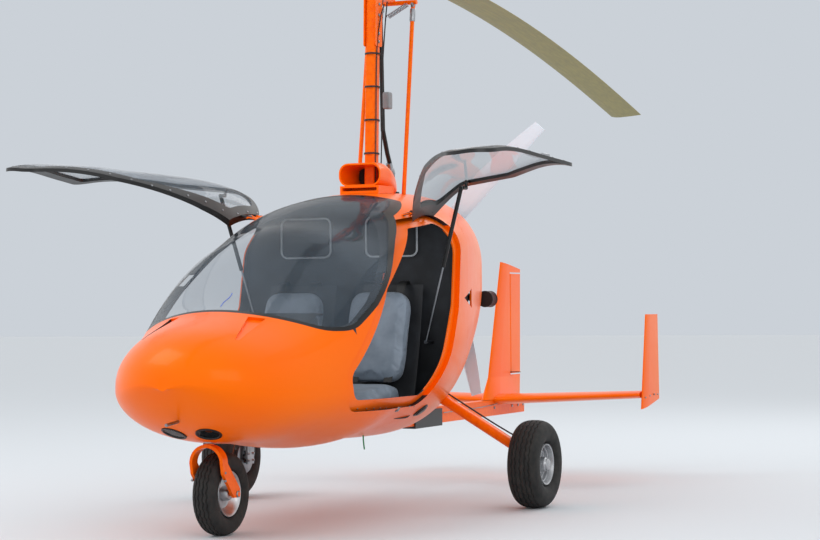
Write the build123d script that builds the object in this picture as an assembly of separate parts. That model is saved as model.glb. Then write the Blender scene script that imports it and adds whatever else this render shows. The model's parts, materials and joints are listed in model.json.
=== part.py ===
from build123d import *
import os

# Two-seat gyrocopter with an enclosed cabin, standing on its tricycle gear with both doors raised.
# Millimetres. +X is forward, +Y is to port, +Z is up. The origin is on the ground under the rotor hub.

# Landing gear
MAIN_AXLE_X = 40.0
MAIN_TRACK = 1712.0
MAIN_TYRE_D = 435.0
MAIN_TYRE_WIDTH = 160.0
NOSE_AXLE_X = 1690.0
NOSE_TYRE_D = 369.0
NOSE_TYRE_WIDTH = 110.0
STEER_AXIS_X = 1800.0
RIM_D = 200.0
AXLE_D = 30.0
RUNNING_GAP = 0.05
LEG_CHORD = 72.0
LEG_THICK = 48.0
LEG_CENTRE_Z = 625.0
LEG_BEND_Y = 210.0
LEG_END_Z = 312.0
LEG_END_GAP = 36.0

# Fuselage: stations of the outer skin, as x, half width, z of the widest line, top, bottom, flank share
HULL = [
    (2190.0, 26.0, 686.0, 712.0, 654.0, 0.06),
    (2130.0, 216.0, 670.0, 837.0, 596.0, 0.06),
    (1950.0, 379.0, 642.0, 929.0, 457.0, 0.06),
    (1700.0, 488.0, 639.0, 1003.0, 404.0, 0.08),
    (1350.0, 592.0, 657.0, 1224.0, 371.0, 0.20),
    (950.0, 615.0, 733.0, 1402.0, 360.0, 0.40),
    (500.0, 614.0, 827.0, 1545.0, 358.0, 0.55),
    (50.0, 527.0, 941.0, 1588.0, 363.0, 0.55),
    (-350.0, 406.0, 1066.0, 1590.0, 475.0, 0.40),
    (-540.0, 344.0, 1106.0, 1562.0, 596.0, 0.30),
    (-720.0, 271.0, 1145.0, 1503.0, 731.0, 0.20),
]
WALL = 28.0
COWL_WALL = 10.0
GLASS = 5.0
FIT_GAP = 1.0
COWL_FRONT_X = 180.0
COWL_REAR_X = -620.0
BULKHEAD_X = 355.0
BULKHEAD_THICK = 14.0
FLOOR_Z = 440.0
FLOOR_THICK = 12.0

# Windshield outline in side view, and the dark band round its edge
WINDSHIELD = [(1930, 1075), (1560, 897), (1425, 897), (1240, 1011), (833, 1316), (648, 1440), (400, 1522)]
WINDSHIELD_TOP_Z = 1900.0
SIDE_VENT = [(270, 1043), (40, 1092), (40, 994)]
NOSE_RECESS = [(1748, 172, 966), (1715, 240, 958), (1960, 232, 862)]
NOSE_RECESS_DEPTH = 16.0
LAMP_AT = (1950.0, 86.0, 459.0)
LAMP_DIR = (0.42, 0.12, -0.9)
LAMP_R = 54.0
LAMP_DEPTH = 18.0
WINDSHIELD_BAND = 18.0
WINDSHIELD_CORNER = 200.0

# Door opening in side view, its corner radius, and the rim that the door frame covers
DOOR_OPENING = [(372, 1418), (655, 1376), (1090, 1085), (1480, 700), (1458, 590), (690, 582), (442, 1010)]
DOOR_CORNER = 62.0
DOOR_LAP = 42.0
DOOR_RING = 40.0
DOOR_BELLY = 1.5
DOOR_THICK = 16.0
DOOR_SEAT_GAP = 5.0
DOOR_HINGE = (450.0, 460.0, 1461.0)
DOOR_HINGE_DIR = (1.0, -0.085, -0.03)
DOOR_TOP_LINE = [(380.0, 1449.0), (700.0, 1399.0)]
DOOR_TOP_FALL = 0.52
DOOR_SCREEN_GAP = 7.0
DOOR_RECESS_ABOVE = 14.0
DOOR_RECESS_MARGIN = 10.0
DOOR_OPEN_DEG = 94.0
HINGE_AT = (0.0, 130.0)
HINGE_ARM_DROP = (33.0, 50.0)
HINGE_STEM_DROP = (4.0, 18.0)
HINGE_STEM_REACH = 65.0
HINGE_LUG_R = 9.0
HINGE_LUG_LENGTH = 12.0
HINGE_KNUCKLE_LENGTH = 30.0
HINGE_PIN_R = 4.0
HINGE_ARM_R = 7.0
STRUT_X = 474.0
STRUT_DOOR_YZ = (556.0, 1250.0)
STRUT_BODY_YZ = (452.0, 830.0)
STRUT_TUBE_R = 10.0
STRUT_ROD_R = 4.5
STRUT_TUBE_LENGTH = 396.0
STRUT_EYE_R = 9.0
STRUT_EYE_WIDTH = 10.0
STRUT_PIN_R = 4.0
STRUT_ROD_HIDDEN = 380.0
STRUT_BRACKET_BACK = 54.0
STRUT_BRACKET_ROOT_Y = 593.5
STRUT_BRACKET_ROOT_LENGTH = 38.0
STRUT_BRACKET_R = 7.0
STRUT_PIN_SHORT = 1.0

# Mast, keel and rotor head
KEEL_WIDTH = 60.0
KEEL_BOTTOM_Z = 370.0
KEEL_TOP_Z = 460.0
KEEL_FRONT_X = 190.0
KEEL_REAR_X = -1985.0
KEEL_WALL = 4.0
KEEL_SLEEVE_X = (-712.0, -350.0)
KEEL_SLEEVE_WALL = 8.0
MAST_SIDE = 57.0
MAST_FOOT_X = 146.0
MAST_TOP_X = 60.0
MAST_TOP_Z = 2600.0
ROD_D = 22.0
ROD_LOW = (-12.0, 130.0, 1560.0)
ROD_HIGH = (-165.0, 124.0, 2574.0)
TORQUE_BAR_Z = 2590.0
ROTOR_Z = 2770.0
SPIN_SHAFT = [(-20, 0, 2592), (-30, 0, 2437), (-47, 0, 1919), (-100, 0, 1800), (-160, 0, 1700), (-190, 0, 1592)]
SPIN_SHAFT_R = 12.0
ROTOR_SHAFT_R = 15.0
ROTOR_R = 4265.0
BLADE_CHORD = 220.0
BLADE_THICK = 26.0
BLADE_ROOT_R = 330.0
BLADE_DROOP = 430.0
ROTOR_AZIMUTH = 1.35
MAST_CHEEK_FROM = 1880.0
MAST_CHEEK_OVER = 50.0
MAST_CHEEK_WIDTH = 80.0
MAST_CHEEK_THICK = 6.0

# Nose fork and roof scoop
NOSE_AXLE_D = 20.0
STEM_D = 28.0
FORK_GAP = 14.0
FORK_ARM = 14.0
FORK_CROWN_Z = 408.0
FORK_HALF_CHORD = 24.0
FORK_BOSS_R = 22.0
SCOOP_FRONT_X = 240.0
SCOOP_REAR_X = -118.0

# Engine: one plain block with its gearbox boss
ENGINE_X = (-540.0, -70.0)
ENGINE_HALF_WIDTH = 200.0
ENGINE_Z = (1010.0, 1380.0)
GEARBOX_BACK_X = -600.0
GEARBOX_R = 95.0
PROP_SHAFT_R = 30.0
FILTER_AT = (-674.0, 324.0, 1041.0)
FILTER_R = 45.0
FILTER_LENGTH = 76.0

# Cabin fittings, in side view
SEAT_PROFILE = [(1010, 470), (1010, 600), (990, 640), (640, 600), (500, 1090), (400, 1120), (400, 1060), (530, 470)]
SEAT_CORNER = 22.0
SEAT_INNER_Y = 50.0
SEAT_OUTER_Y = 425.0
PANEL_PROFILE = [(1290, 700), (1330, 960), (1560, 900), (1560, 860), (1420, 700)]
PANEL_CORNER = 14.0
PANEL_HALF_WIDTH = 300.0
CONSOLE_X = (1040.0, 1410.0)
CONSOLE_HALF_WIDTH = 40.0
CONSOLE_TOP_Z = 702.0
STICK_LOW = (1120.0, 260.0)
STICK_HIGH = (1060.0, 260.0, 800.0)
PEDAL_Y = (-330.0, -190.0, 190.0, 330.0)

# Propeller
PROP_X = -752.0
PROP_Z = 1355.0
PROP_R = 863.0
PROP_PHASE = 44.9
PROP_BLADES = 3
PROP_LEAD = 30.0
PROP_HUB_R = 62.0
PROP_HUB_FRONT = 62.0
PROP_HUB_BACK = 40.0
# Blade stations, as radius, chord, thickness, pitch in degrees
PROP_ROWS = [(66, 62, 30, 32), (230, 104, 22, 27), (520, 112, 15, 19), (PROP_R, 66, 7, 13)]

# Tail
FIN_FLARE = (-1404.0, -1985.0, 462.0)
FIN_BASE = (-1484.0, -1994.0, 590.0)
FIN_TOP = (-1690.0, -2011.0, 1264.0)
FIN_TOP_CUT = [(-1690, 1263), (-2030, 1222), (-2030, 1300), (-1690, 1300)]
RUDDER_Z = (604.0, 1196.0)
RUDDER_SHARE = 0.42
RUDDER_NOSE_R = 12.0
STAB_Z = 460.0
STAB_TIP_Z = 496.0
STAB_HALF_SPAN = 900.0
STAB_ROOT = (-1480.0, -1900.0)
STAB_TIP = (-1514.0, -1855.0)
TIP_FIN_BOTTOM_Z = 412.0
TIP_FIN_CUT = [(-1490, 412), (-1870, 466), (-1870, 400), (-1490, 400)]
TIP_FIN_TOP_Z = 950.0
TIP_FIN_TOP = (-1605.0, -1832.0)

Y_AXIS = (0, 1, 0)
nodes = {}


def unit(v):
    return Vector(*v).normalized()


def rod_between(start, end, radius):
    """A round bar from start to end."""
    start, end = Vector(*start), Vector(*end)
    plane = Plane(origin=start, z_dir=end - start)
    return plane * Cylinder(radius, (end - start).length, align=(Align.CENTER, Align.CENTER, Align.MIN))


def round_bar(centre, direction, radius, length):
    """A round bar of a given length about its middle."""
    half = unit(direction) * (length / 2)
    centre = Vector(*centre)
    return rod_between(tuple(centre - half), tuple(centre + half), radius)


def block(x0, x1, y0, y1, z0, z1):
    centre = Pos((x0 + x1) / 2, (y0 + y1) / 2, (z0 + z1) / 2)
    return centre * Box(abs(x1 - x0), abs(y1 - y0), abs(z1 - z0))


def mirror_port(shape):
    return mirror(shape, about=Plane.XZ)


def side_profile(points, radius=0.0):
    """A face in the XZ plane from its corner points, with its corners rounded."""
    face = Polygon(*points, align=None)
    if radius:
        face = fillet(face.vertices(), radius)
    return face


def across(face, y0, y1):
    """The solid that a side-view face sweeps from y0 to y1."""
    return extrude(Plane.XZ.offset(-y0) * face, amount=y1 - y0, dir=(0, 1, 0))


def hull_section(row, inset, belly=1.0):
    """A hull station: half an ellipse below, straight flanks, half an ellipse for the roof."""
    x, half_width, z_wide, z_top, z_bottom, flank = row
    z_bottom = z_wide - belly * (z_wide - z_bottom)
    w = half_width - inset
    z_shoulder = z_wide + flank * (z_top - z_wide)
    outline = [
        EllipticalCenterArc((0, z_wide), w, z_wide - z_bottom - inset, 180, arc_size=180),
        Line((w, z_wide), (w, z_shoulder)),
        EllipticalCenterArc((0, z_shoulder), w, z_top - inset - z_shoulder, 0, arc_size=180),
        Line((-w, z_shoulder), (-w, z_wide)),
    ]
    return Plane.YZ.offset(x) * make_face(outline)


def hull_solid(inset, first=0, belly=1.0):
    return loft([hull_section(row, inset, belly) for row in HULL[first:]])


def wheel_profile(radius, width, bead):
    """Half section of a tyre, in radius and width, from bead to bead."""
    half = width / 2
    drop = 0.16 * width
    flat = 0.5 * half
    shoulder = radius - drop
    bead_half = 0.36 * width
    belly = bead + 0.35 * (radius - bead)
    right = Polyline((bead_half, bead), (half, belly), (half, shoulder))
    right_crown = EllipticalCenterArc((flat, shoulder), half - flat, drop, 0, arc_size=90)
    tread = Line((flat, radius), (-flat, radius))
    left_crown = EllipticalCenterArc((-flat, shoulder), half - flat, drop, 90, arc_size=90)
    left = Polyline((-half, shoulder), (-half, belly), (-bead_half, bead))
    seat = Line((-bead_half, bead), (bead_half, bead))
    return make_face([right, right_crown, tread, left_crown, left, seat])


def revolve_wheel(face, centre):
    """Turn a half section, drawn as (width, radius), round the wheel's cross axis."""
    plane = Plane(origin=centre, x_dir=(0, 1, 0), z_dir=(1, 0, 0))
    return revolve(plane * face, axis=Axis(centre, (0, 1, 0)))


def tyre(centre, diameter, width):
    return revolve_wheel(wheel_profile(diameter / 2, width, RIM_D / 2), centre)


def rim(centre, width, bore_d, outward):
    """A split disc rim: a barrel, a dished web and a hub with its bore."""
    r = RIM_D / 2
    half = 0.36 * width
    hub = 0.42 * width
    bore = bore_d / 2 + RUNNING_GAP
    face = Polygon(
        (-half, r), (half, r), (half, r - 10), (half - 14, r - 22), (8, r - 26), (8, 38), (hub, 30),
        (hub, bore), (-hub, bore), (-hub, 30), (-8, 38), (-8, r - 26), (-half + 14, r - 22), (-half, r - 10),
        align=None,
    )
    return revolve_wheel(mirror(face, about=Plane.YZ) if outward < 0 else face, centre)


def airfoil(chord, thick, plane):
    """A wing section from its leading edge at the plane's origin, back along the plane's -X."""
    nose = 0.28 * chord
    upper = ThreePointArc((-nose, thick / 2), (-0.62 * chord, 0.33 * thick), (-chord, 1.2))
    lower = ThreePointArc((-nose, -thick / 2), (-0.62 * chord, -0.33 * thick), (-chord, -1.2))
    front = EllipticalCenterArc((-nose, 0), nose, thick / 2, -90, arc_size=180)
    back = Line((-chord, 1.2), (-chord, -1.2))
    return plane * make_face([upper, lower, front, back])


def fin_section(x_lead, x_trail, thick, y, z):
    plane = Plane(origin=(x_lead, y, z), x_dir=(1, 0, 0), z_dir=(0, 0, 1))
    return airfoil(x_lead - x_trail, thick, plane)


def build_hull():
    outer = hull_solid(0)
    inner = hull_solid(WALL, 1)
    glass_in = hull_solid(GLASS)
    rebate_in = hull_solid(GLASS + FIT_GAP / 2)
    leaf_out = hull_solid(0, 1, DOOR_BELLY)
    leaf_in = hull_solid(DOOR_THICK, 1, DOOR_BELLY)
    pane_in = hull_solid(GLASS, 1, DOOR_BELLY)
    door_rebate_in = hull_solid(DOOR_THICK + DOOR_SEAT_GAP, 1)
    cowl_in = hull_solid(COWL_WALL, 1)

    screen = side_profile(WINDSHIELD + [(400, WINDSHIELD_TOP_Z), (1930, WINDSHIELD_TOP_Z)])
    lower_corners = [v for v in screen.vertices() if v.Y < 1000 and v.X < 1700]
    screen = fillet(lower_corners, WINDSHIELD_CORNER)
    screen_cut = across(offset(screen, FIT_GAP / 2), -900, 900)
    screen_body = across(screen, -900, 900)
    screen_inner = across(offset(screen, -WINDSHIELD_BAND, kind=Kind.INTERSECTION), -900, 900)
    pane = (outer - glass_in) & screen_body
    nodes["windshield_pane"] = pane & screen_inner
    nodes["windshield_band"] = pane - screen_inner

    hole = side_profile(DOOR_OPENING, DOOR_CORNER)
    leaf = (offset(hole, DOOR_LAP) & below_hinge(0)) - offset(screen, DOOR_SCREEN_GAP)
    light = offset(hole, DOOR_LAP - DOOR_RING)
    recess = offset(hole, DOOR_LAP + DOOR_RECESS_MARGIN) & below_hinge(DOOR_RECESS_ABOVE)
    hole_cut = across(hole, -900, 900)
    recess_cut = across(recess, -900, 900) - door_rebate_in

    shell = outer - inner
    shell -= block(-900, COWL_FRONT_X, -900, 900, 0, 1900)
    shell -= screen_inner
    shell -= screen_cut - rebate_in
    shell -= hole_cut
    shell -= recess_cut
    vent = across(side_profile(SIDE_VENT), -900, 900)
    shell -= vent
    for recess_cutter in nose_recesses():
        shell -= recess_cutter
    lamps = None
    for side in (1, -1):
        place = Vector(LAMP_AT[0], side * LAMP_AT[1], LAMP_AT[2])
        out = unit((LAMP_DIR[0], side * LAMP_DIR[1], LAMP_DIR[2]))
        shell -= rod_between(place - out * LAMP_DEPTH, place + out * 60, LAMP_R + 4)
        lamp = rod_between(place - out * LAMP_DEPTH, place - out * 4, LAMP_R)
        lamps = lamp if lamps is None else lamps + lamp
    nodes["landing_lights"] = lamps
    shell -= round_bar((STEER_AXIS_X, 0, 420), (0, 0, 1), STEM_D / 2 + 8.2, 200)
    shell -= block(0, KEEL_FRONT_X + 8, -KEEL_WIDTH / 2 - 2, KEEL_WIDTH / 2 + 2, 300, KEEL_TOP_Z + 2)
    for knuckle in hinge_places(HINGE_KNUCKLE_LENGTH + 4, HINGE_LUG_R + 3):
        shell -= knuckle + mirror_port(knuckle)
    for lug in hinge_lugs():
        shell += lug
        shell += mirror_port(lug)
    nodes["fuselage_shell"] = shell

    cowl = outer - cowl_in - vent
    cowl &= block(COWL_REAR_X, COWL_FRONT_X - FIT_GAP, -900, 900, 0, 1900)
    cowl -= block(-900, KEEL_FRONT_X, -KEEL_WIDTH / 2 - 2, KEEL_WIDTH / 2 + 2, 300, KEEL_TOP_Z + 2)
    cowl -= mast_body(MAST_SIDE + 6)
    cowl -= leg_body(6.0)
    for side in (1, -1):
        cowl -= rod_between((ROD_LOW[0], side * ROD_LOW[1], 1450), (ROD_LOW[0], side * ROD_LOW[1], 1700), 17)
    nodes["engine_cowl_port"] = cowl & block(-900, 400, FIT_GAP / 2, 900, 0, 1900)
    nodes["engine_cowl_starboard"] = cowl & block(-900, 400, -900, -FIT_GAP / 2, 0, 1900)

    cabin = hull_solid(WALL + FIT_GAP, 1)
    bulkhead = cabin & block(BULKHEAD_X, BULKHEAD_X + BULKHEAD_THICK, -900, 900, 0, 1900)
    nodes["bulkhead"] = bulkhead
    floor = cabin & block(BULKHEAD_X + BULKHEAD_THICK, 1990, -900, 900, FLOOR_Z, FLOOR_Z + FLOOR_THICK)
    floor -= round_bar((STEER_AXIS_X, 0, 420), (0, 0, 1), STEM_D / 2 + 8.2, 200)
    nodes["floor_pan"] = floor

    door_solid = (leaf_out - leaf_in) & across(leaf, 100, 900)
    pane_solid = (leaf_out - pane_in) & across(light, 100, 900)
    ring = door_solid - across(light, 100, 900)
    build_doors(ring, pane_solid)


def hinge_axis():
    return Axis(DOOR_HINGE, DOOR_HINGE_DIR)


def below_hinge(extra):
    """The side-view region under the door's top edge, which stays outboard of the hinge line's foot."""
    (x0, z0), (x1, z1) = DOOR_TOP_LINE
    slope = (z1 - z0) / (x1 - x0)
    reach = 1500.0
    x, z = x1 + extra, z1 + extra
    corners = [(x - reach, z - slope * reach), (x, z), (x + reach, z - reach * DOOR_TOP_FALL),
               (x + reach, 0), (x - reach, 0)]
    return Polygon(*corners, align=None)


def hinge_places(length, radius, shift=0.0):
    """A bar on the hinge line at each of the two hinges."""
    along = unit(DOOR_HINGE_DIR)
    places = [Vector(*DOOR_HINGE) + along * (at + shift) for at in HINGE_AT]
    return [round_bar(tuple(place), tuple(along), radius, length) for place in places]


def hinge_lugs():
    """Each hinge's two fixed lugs, the pin that joins them and their stems into the roof."""
    reach = HINGE_KNUCKLE_LENGTH / 2 + 1 + HINGE_LUG_LENGTH / 2
    lugs = [pin for pin in hinge_places(2 * reach, HINGE_PIN_R)]
    for shift in (reach, -reach):
        bars = hinge_places(HINGE_LUG_LENGTH, HINGE_LUG_R, shift)
        lugs = [lug + bar + stem for lug, bar, stem in zip(lugs, bars, hinge_stems(shift))]
    return lugs


def hinge_stems(shift):
    """A short stem from each lug inward into the roof."""
    along = unit(DOOR_HINGE_DIR)
    stems = []
    for at, drop in zip(HINGE_AT, HINGE_STEM_DROP):
        start = Vector(*DOOR_HINGE) + along * (at + shift)
        stems.append(rod_between(start, start + Vector(0, -HINGE_STEM_REACH, -drop), HINGE_LUG_LENGTH / 2))
    return stems


def strut_points():
    """The strut's pins, in one plane square to the hinge: on the shut door, the raised door, the body."""
    along = unit(DOOR_HINGE_DIR)
    shut = Vector(STRUT_X, *STRUT_DOOR_YZ)
    raised = Vertex(shut.X, shut.Y, shut.Z).rotate(hinge_axis(), DOOR_OPEN_DEG).center()
    fixed = Vector(STRUT_X, *STRUT_BODY_YZ)
    fixed += Vector(1, 0, 0) * ((shut - fixed).dot(along) / along.X)
    return shut, raised, fixed


def build_doors(ring, pane):
    along = unit(DOOR_HINGE_DIR)
    axis = hinge_axis()
    shut, raised, fixed = strut_points()
    for knuckle, at, drop in zip(hinge_places(HINGE_KNUCKLE_LENGTH, HINGE_LUG_R), HINGE_AT, HINGE_ARM_DROP):
        place = Vector(*DOOR_HINGE) + along * at
        ring += knuckle + rod_between(place, place + Vector(0, 1, -drop), HINGE_ARM_R)
    reach = (HINGE_KNUCKLE_LENGTH + HINGE_LUG_LENGTH) / 2 + 1
    for shift in (reach, -reach):
        for room in hinge_places(HINGE_LUG_LENGTH + 2, HINGE_LUG_R + 3, shift):
            ring -= room
    for bore in hinge_places(HINGE_KNUCKLE_LENGTH + 2, HINGE_PIN_R + RUNNING_GAP):
        ring -= bore
    stem_low = shut - along * STRUT_BRACKET_BACK
    root = Vector(stem_low.X, STRUT_BRACKET_ROOT_Y, stem_low.Z)
    ring += rod_between(root - Vector(STRUT_BRACKET_ROOT_LENGTH, 0, 0), root, STRUT_BRACKET_R)
    ring += Pos(*root) * Sphere(STRUT_BRACKET_R)
    ring += rod_between(stem_low, root, STRUT_BRACKET_R)
    ring += rod_between(stem_low, shut - along * (STRUT_TUBE_R + 3), STRUT_EYE_R)
    ring += rod_between(stem_low, shut + along * (STRUT_EYE_WIDTH / 2), STRUT_PIN_R)
    nodes["door_frame_port"] = ring.rotate(axis, DOOR_OPEN_DEG)
    nodes["door_pane_port"] = (pane - ring).rotate(axis, DOOR_OPEN_DEG)

    run = (fixed - raised).normalized()
    neck = raised + run * STRUT_TUBE_LENGTH
    tube = round_bar(raised, along, STRUT_EYE_R, STRUT_EYE_WIDTH)
    tube += rod_between(raised + run * 6, neck, STRUT_TUBE_R)
    tube -= round_bar(raised, along, STRUT_PIN_R + RUNNING_GAP, STRUT_EYE_WIDTH + 2)
    rod_top = raised + run * STRUT_ROD_HIDDEN
    tube -= rod_between(raised + run * STRUT_EYE_R, neck + run, STRUT_ROD_R + RUNNING_GAP)
    rod = rod_between(rod_top, fixed - run * 6, STRUT_ROD_R)
    rod += round_bar(fixed, along, STRUT_EYE_R, STRUT_EYE_WIDTH)
    nodes["strut_tube_port"] = tube
    nodes["strut_rod_port"] = rod
    for name in ("door_frame", "door_pane", "strut_tube", "strut_rod"):
        nodes[name + "_starboard"] = mirror_port(nodes[name + "_port"])

    pin = rod_between((BULKHEAD_X + BULKHEAD_THICK - 1, fixed.Y, fixed.Z), fixed - along * 14, STRUT_EYE_R)
    pin += rod_between(fixed - along * 16, fixed - along * (STRUT_EYE_WIDTH / 2 + STRUT_PIN_SHORT), STRUT_PIN_R)
    nodes["bulkhead"] += pin + mirror_port(pin)


def mast_body(side):
    """The mast's square outline along its slight backward lean."""
    foot = Vector(MAST_FOOT_X, 0, KEEL_TOP_Z)
    top = Vector(MAST_TOP_X, 0, MAST_TOP_Z)
    plane = Plane(origin=foot, x_dir=(0, 1, 0), z_dir=top - foot)
    length = (top - foot).length
    return extrude(plane * RectangleRounded(side, side, 8), amount=length)


def leg_body(grow=0.0):
    """The sprung bow that carries both main wheels, from end plate to end plate."""
    end_y = MAIN_TRACK / 2 - MAIN_TYRE_WIDTH / 2 - LEG_END_GAP
    slope = (LEG_CENTRE_Z - LEG_END_Z) / (end_y - LEG_BEND_Y)
    half_path = [(end_y + 40, LEG_END_Z - 40 * slope), (LEG_BEND_Y, LEG_CENTRE_Z)]
    points = [(-y, z) for y, z in half_path] + half_path[::-1]
    path = FilletPolyline(*points, radius=70)
    path = Plane.YZ.offset(MAIN_AXLE_X) * path
    start = Plane(origin=path @ 0, z_dir=path % 0, x_dir=(1, 0, 0))
    section = start * SlotOverall(LEG_CHORD + grow, LEG_THICK + grow)
    return sweep(section, path=path) & block(-300, 400, -end_y, end_y, 0, 900)


def nose_recesses():
    """Two shallow wedge-shaped air recesses in the nose, deep at their upper end and running out forward."""
    cutters = []
    for side in (1, -1):
        top_in, top_out, tip = [Vector(x, side * y, z) for x, y, z in NOSE_RECESS]
        out = (top_out - top_in).cross(tip - top_in).normalized()
        if out.Z < 0:
            out = out * -1
        lift, sink = out * 30, out * -NOSE_RECESS_DEPTH
        high = Face(Wire.make_polygon([top_in + lift, top_out + lift, top_out + sink, top_in + sink]))
        across_dir = (top_out - top_in).normalized() * 9
        low = Face(Wire.make_polygon([tip - across_dir + lift, tip + across_dir + lift, tip + across_dir + out * 2,
                                      tip - across_dir + out * 2]))
        cutters.append(loft([high, low], ruled=True))
    return cutters


def build_frame():
    """Keel tube, mast, main gear bow and their joints to one another."""
    keel = block(KEEL_REAR_X, KEEL_FRONT_X, -KEEL_WIDTH / 2, KEEL_WIDTH / 2, KEEL_BOTTOM_Z, KEEL_TOP_Z)
    hollow = block(
        KEEL_REAR_X - 1, KEEL_FRONT_X - 6, -KEEL_WIDTH / 2 + KEEL_WALL, KEEL_WIDTH / 2 - KEEL_WALL,
        KEEL_BOTTOM_Z + KEEL_WALL, KEEL_TOP_Z - KEEL_WALL,
    )
    keel -= hollow
    saddle = block(
        MAIN_AXLE_X - 45, MAIN_AXLE_X + 45, -KEEL_WIDTH / 2, KEEL_WIDTH / 2,
        KEEL_TOP_Z, LEG_CENTRE_Z - LEG_THICK / 2,
    )
    nodes["keel_beam"] = keel + saddle
    nodes["gear_bow"] = leg_body()

    mast = mast_body(MAST_SIDE)
    foot = Vector(MAST_FOOT_X, 0, KEEL_TOP_Z)
    lean = (Vector(MAST_TOP_X, 0, MAST_TOP_Z) - foot).normalized()
    mast = mast & block(-200, 400, -100, 100, KEEL_TOP_Z, MAST_TOP_Z)
    nodes["mast"] = mast
    cheeks = None
    for side in (1, -1):
        plate = Pos(0, side * (MAST_SIDE / 2 + MAST_CHEEK_THICK / 2), 0) * mast_cheek(foot, lean)
        cheeks = plate if cheeks is None else cheeks + plate
    nodes["mast_cheeks"] = cheeks


def mast_cheek(foot, lean):
    """One side plate of the mast head, reaching past the mast to carry the head's pivot."""
    low = foot + lean * MAST_CHEEK_FROM
    high = Vector(MAST_TOP_X, 0, MAST_TOP_Z + MAST_CHEEK_OVER)
    half = MAST_CHEEK_WIDTH / 2
    face = Polygon((low.X - half, low.Z), (low.X + half, low.Z), (high.X + half, high.Z), (high.X - half, high.Z),
                   align=None)
    face = fillet(face.vertices(), 12)
    return across(face, -MAST_CHEEK_THICK / 2, MAST_CHEEK_THICK / 2)


def build_wheels():
    for side, name in ((1, "port"), (-1, "starboard")):
        centre = (MAIN_AXLE_X, side * MAIN_TRACK / 2, MAIN_TYRE_D / 2)
        nodes["main_tyre_" + name] = tyre(centre, MAIN_TYRE_D, MAIN_TYRE_WIDTH)
        nodes["main_rim_" + name] = rim(centre, MAIN_TYRE_WIDTH, AXLE_D, side)
        end_y = MAIN_TRACK / 2 - MAIN_TYRE_WIDTH / 2 - LEG_END_GAP
        plate_y = sorted((side * end_y, side * (end_y + 10)))
        plate = block(centre[0] - 36, centre[0] + 36, *plate_y, centre[2] - 36, LEG_END_Z + 36)
        outer_y = side * (MAIN_TRACK / 2 + 0.42 * MAIN_TYRE_WIDTH + 9)
        axle = rod_between((centre[0], side * end_y, centre[2]), (centre[0], outer_y, centre[2]), AXLE_D / 2)
        nodes["axle_" + name] = axle + plate


def build_nose_gear():
    centre = (NOSE_AXLE_X, 0, NOSE_TYRE_D / 2)
    nodes["nose_tyre"] = tyre(centre, NOSE_TYRE_D, NOSE_TYRE_WIDTH)
    nodes["nose_rim"] = rim(centre, NOSE_TYRE_WIDTH, NOSE_AXLE_D, 1)
    half = NOSE_TYRE_WIDTH / 2 + FORK_GAP
    crown_z = FORK_CROWN_Z
    spring_z = crown_z - half - FORK_ARM
    fork = rod_between((STEER_AXIS_X, 0, crown_z - FORK_ARM + 2), (STEER_AXIS_X, 0, 560), STEM_D / 2)
    fork += rod_between((STEER_AXIS_X, 0, crown_z - FORK_ARM + 2), (STEER_AXIS_X, 0, crown_z + 2), FORK_BOSS_R)
    arch = round_bar((STEER_AXIS_X, 0, spring_z), (1, 0, 0), half + FORK_ARM, 2 * FORK_HALF_CHORD)
    arch -= round_bar((STEER_AXIS_X, 0, spring_z), (1, 0, 0), half, 2 * FORK_HALF_CHORD + 2)
    fork += arch & block(STEER_AXIS_X - 100, STEER_AXIS_X + 100, -200, 200, spring_z, crown_z + 5)
    for side in (1, -1):
        y0, y1 = side * half, side * (half + FORK_ARM)
        arm = side_profile([
            (STEER_AXIS_X - FORK_HALF_CHORD, spring_z), (STEER_AXIS_X + FORK_HALF_CHORD, spring_z),
            (STEER_AXIS_X + 14, crown_z - 130),
            (NOSE_AXLE_X + 30, centre[2] - 14), (NOSE_AXLE_X - 22, centre[2] - 14), (NOSE_AXLE_X - 22, centre[2] + 24),
        ])
        fork += across(arm, min(y0, y1), max(y0, y1))
    axle_half = half + FORK_ARM + 8
    fork += round_bar(centre, Y_AXIS, NOSE_AXLE_D / 2, 2 * axle_half)
    nodes["nose_fork"] = fork
    bearing = rod_between((STEER_AXIS_X, 0, crown_z + 6), (STEER_AXIS_X, 0, 550), STEM_D / 2 + 8)
    bearing -= rod_between((STEER_AXIS_X, 0, 300), (STEER_AXIS_X, 0, 700), STEM_D / 2 + RUNNING_GAP)
    nodes["steering_bearing"] = bearing


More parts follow.
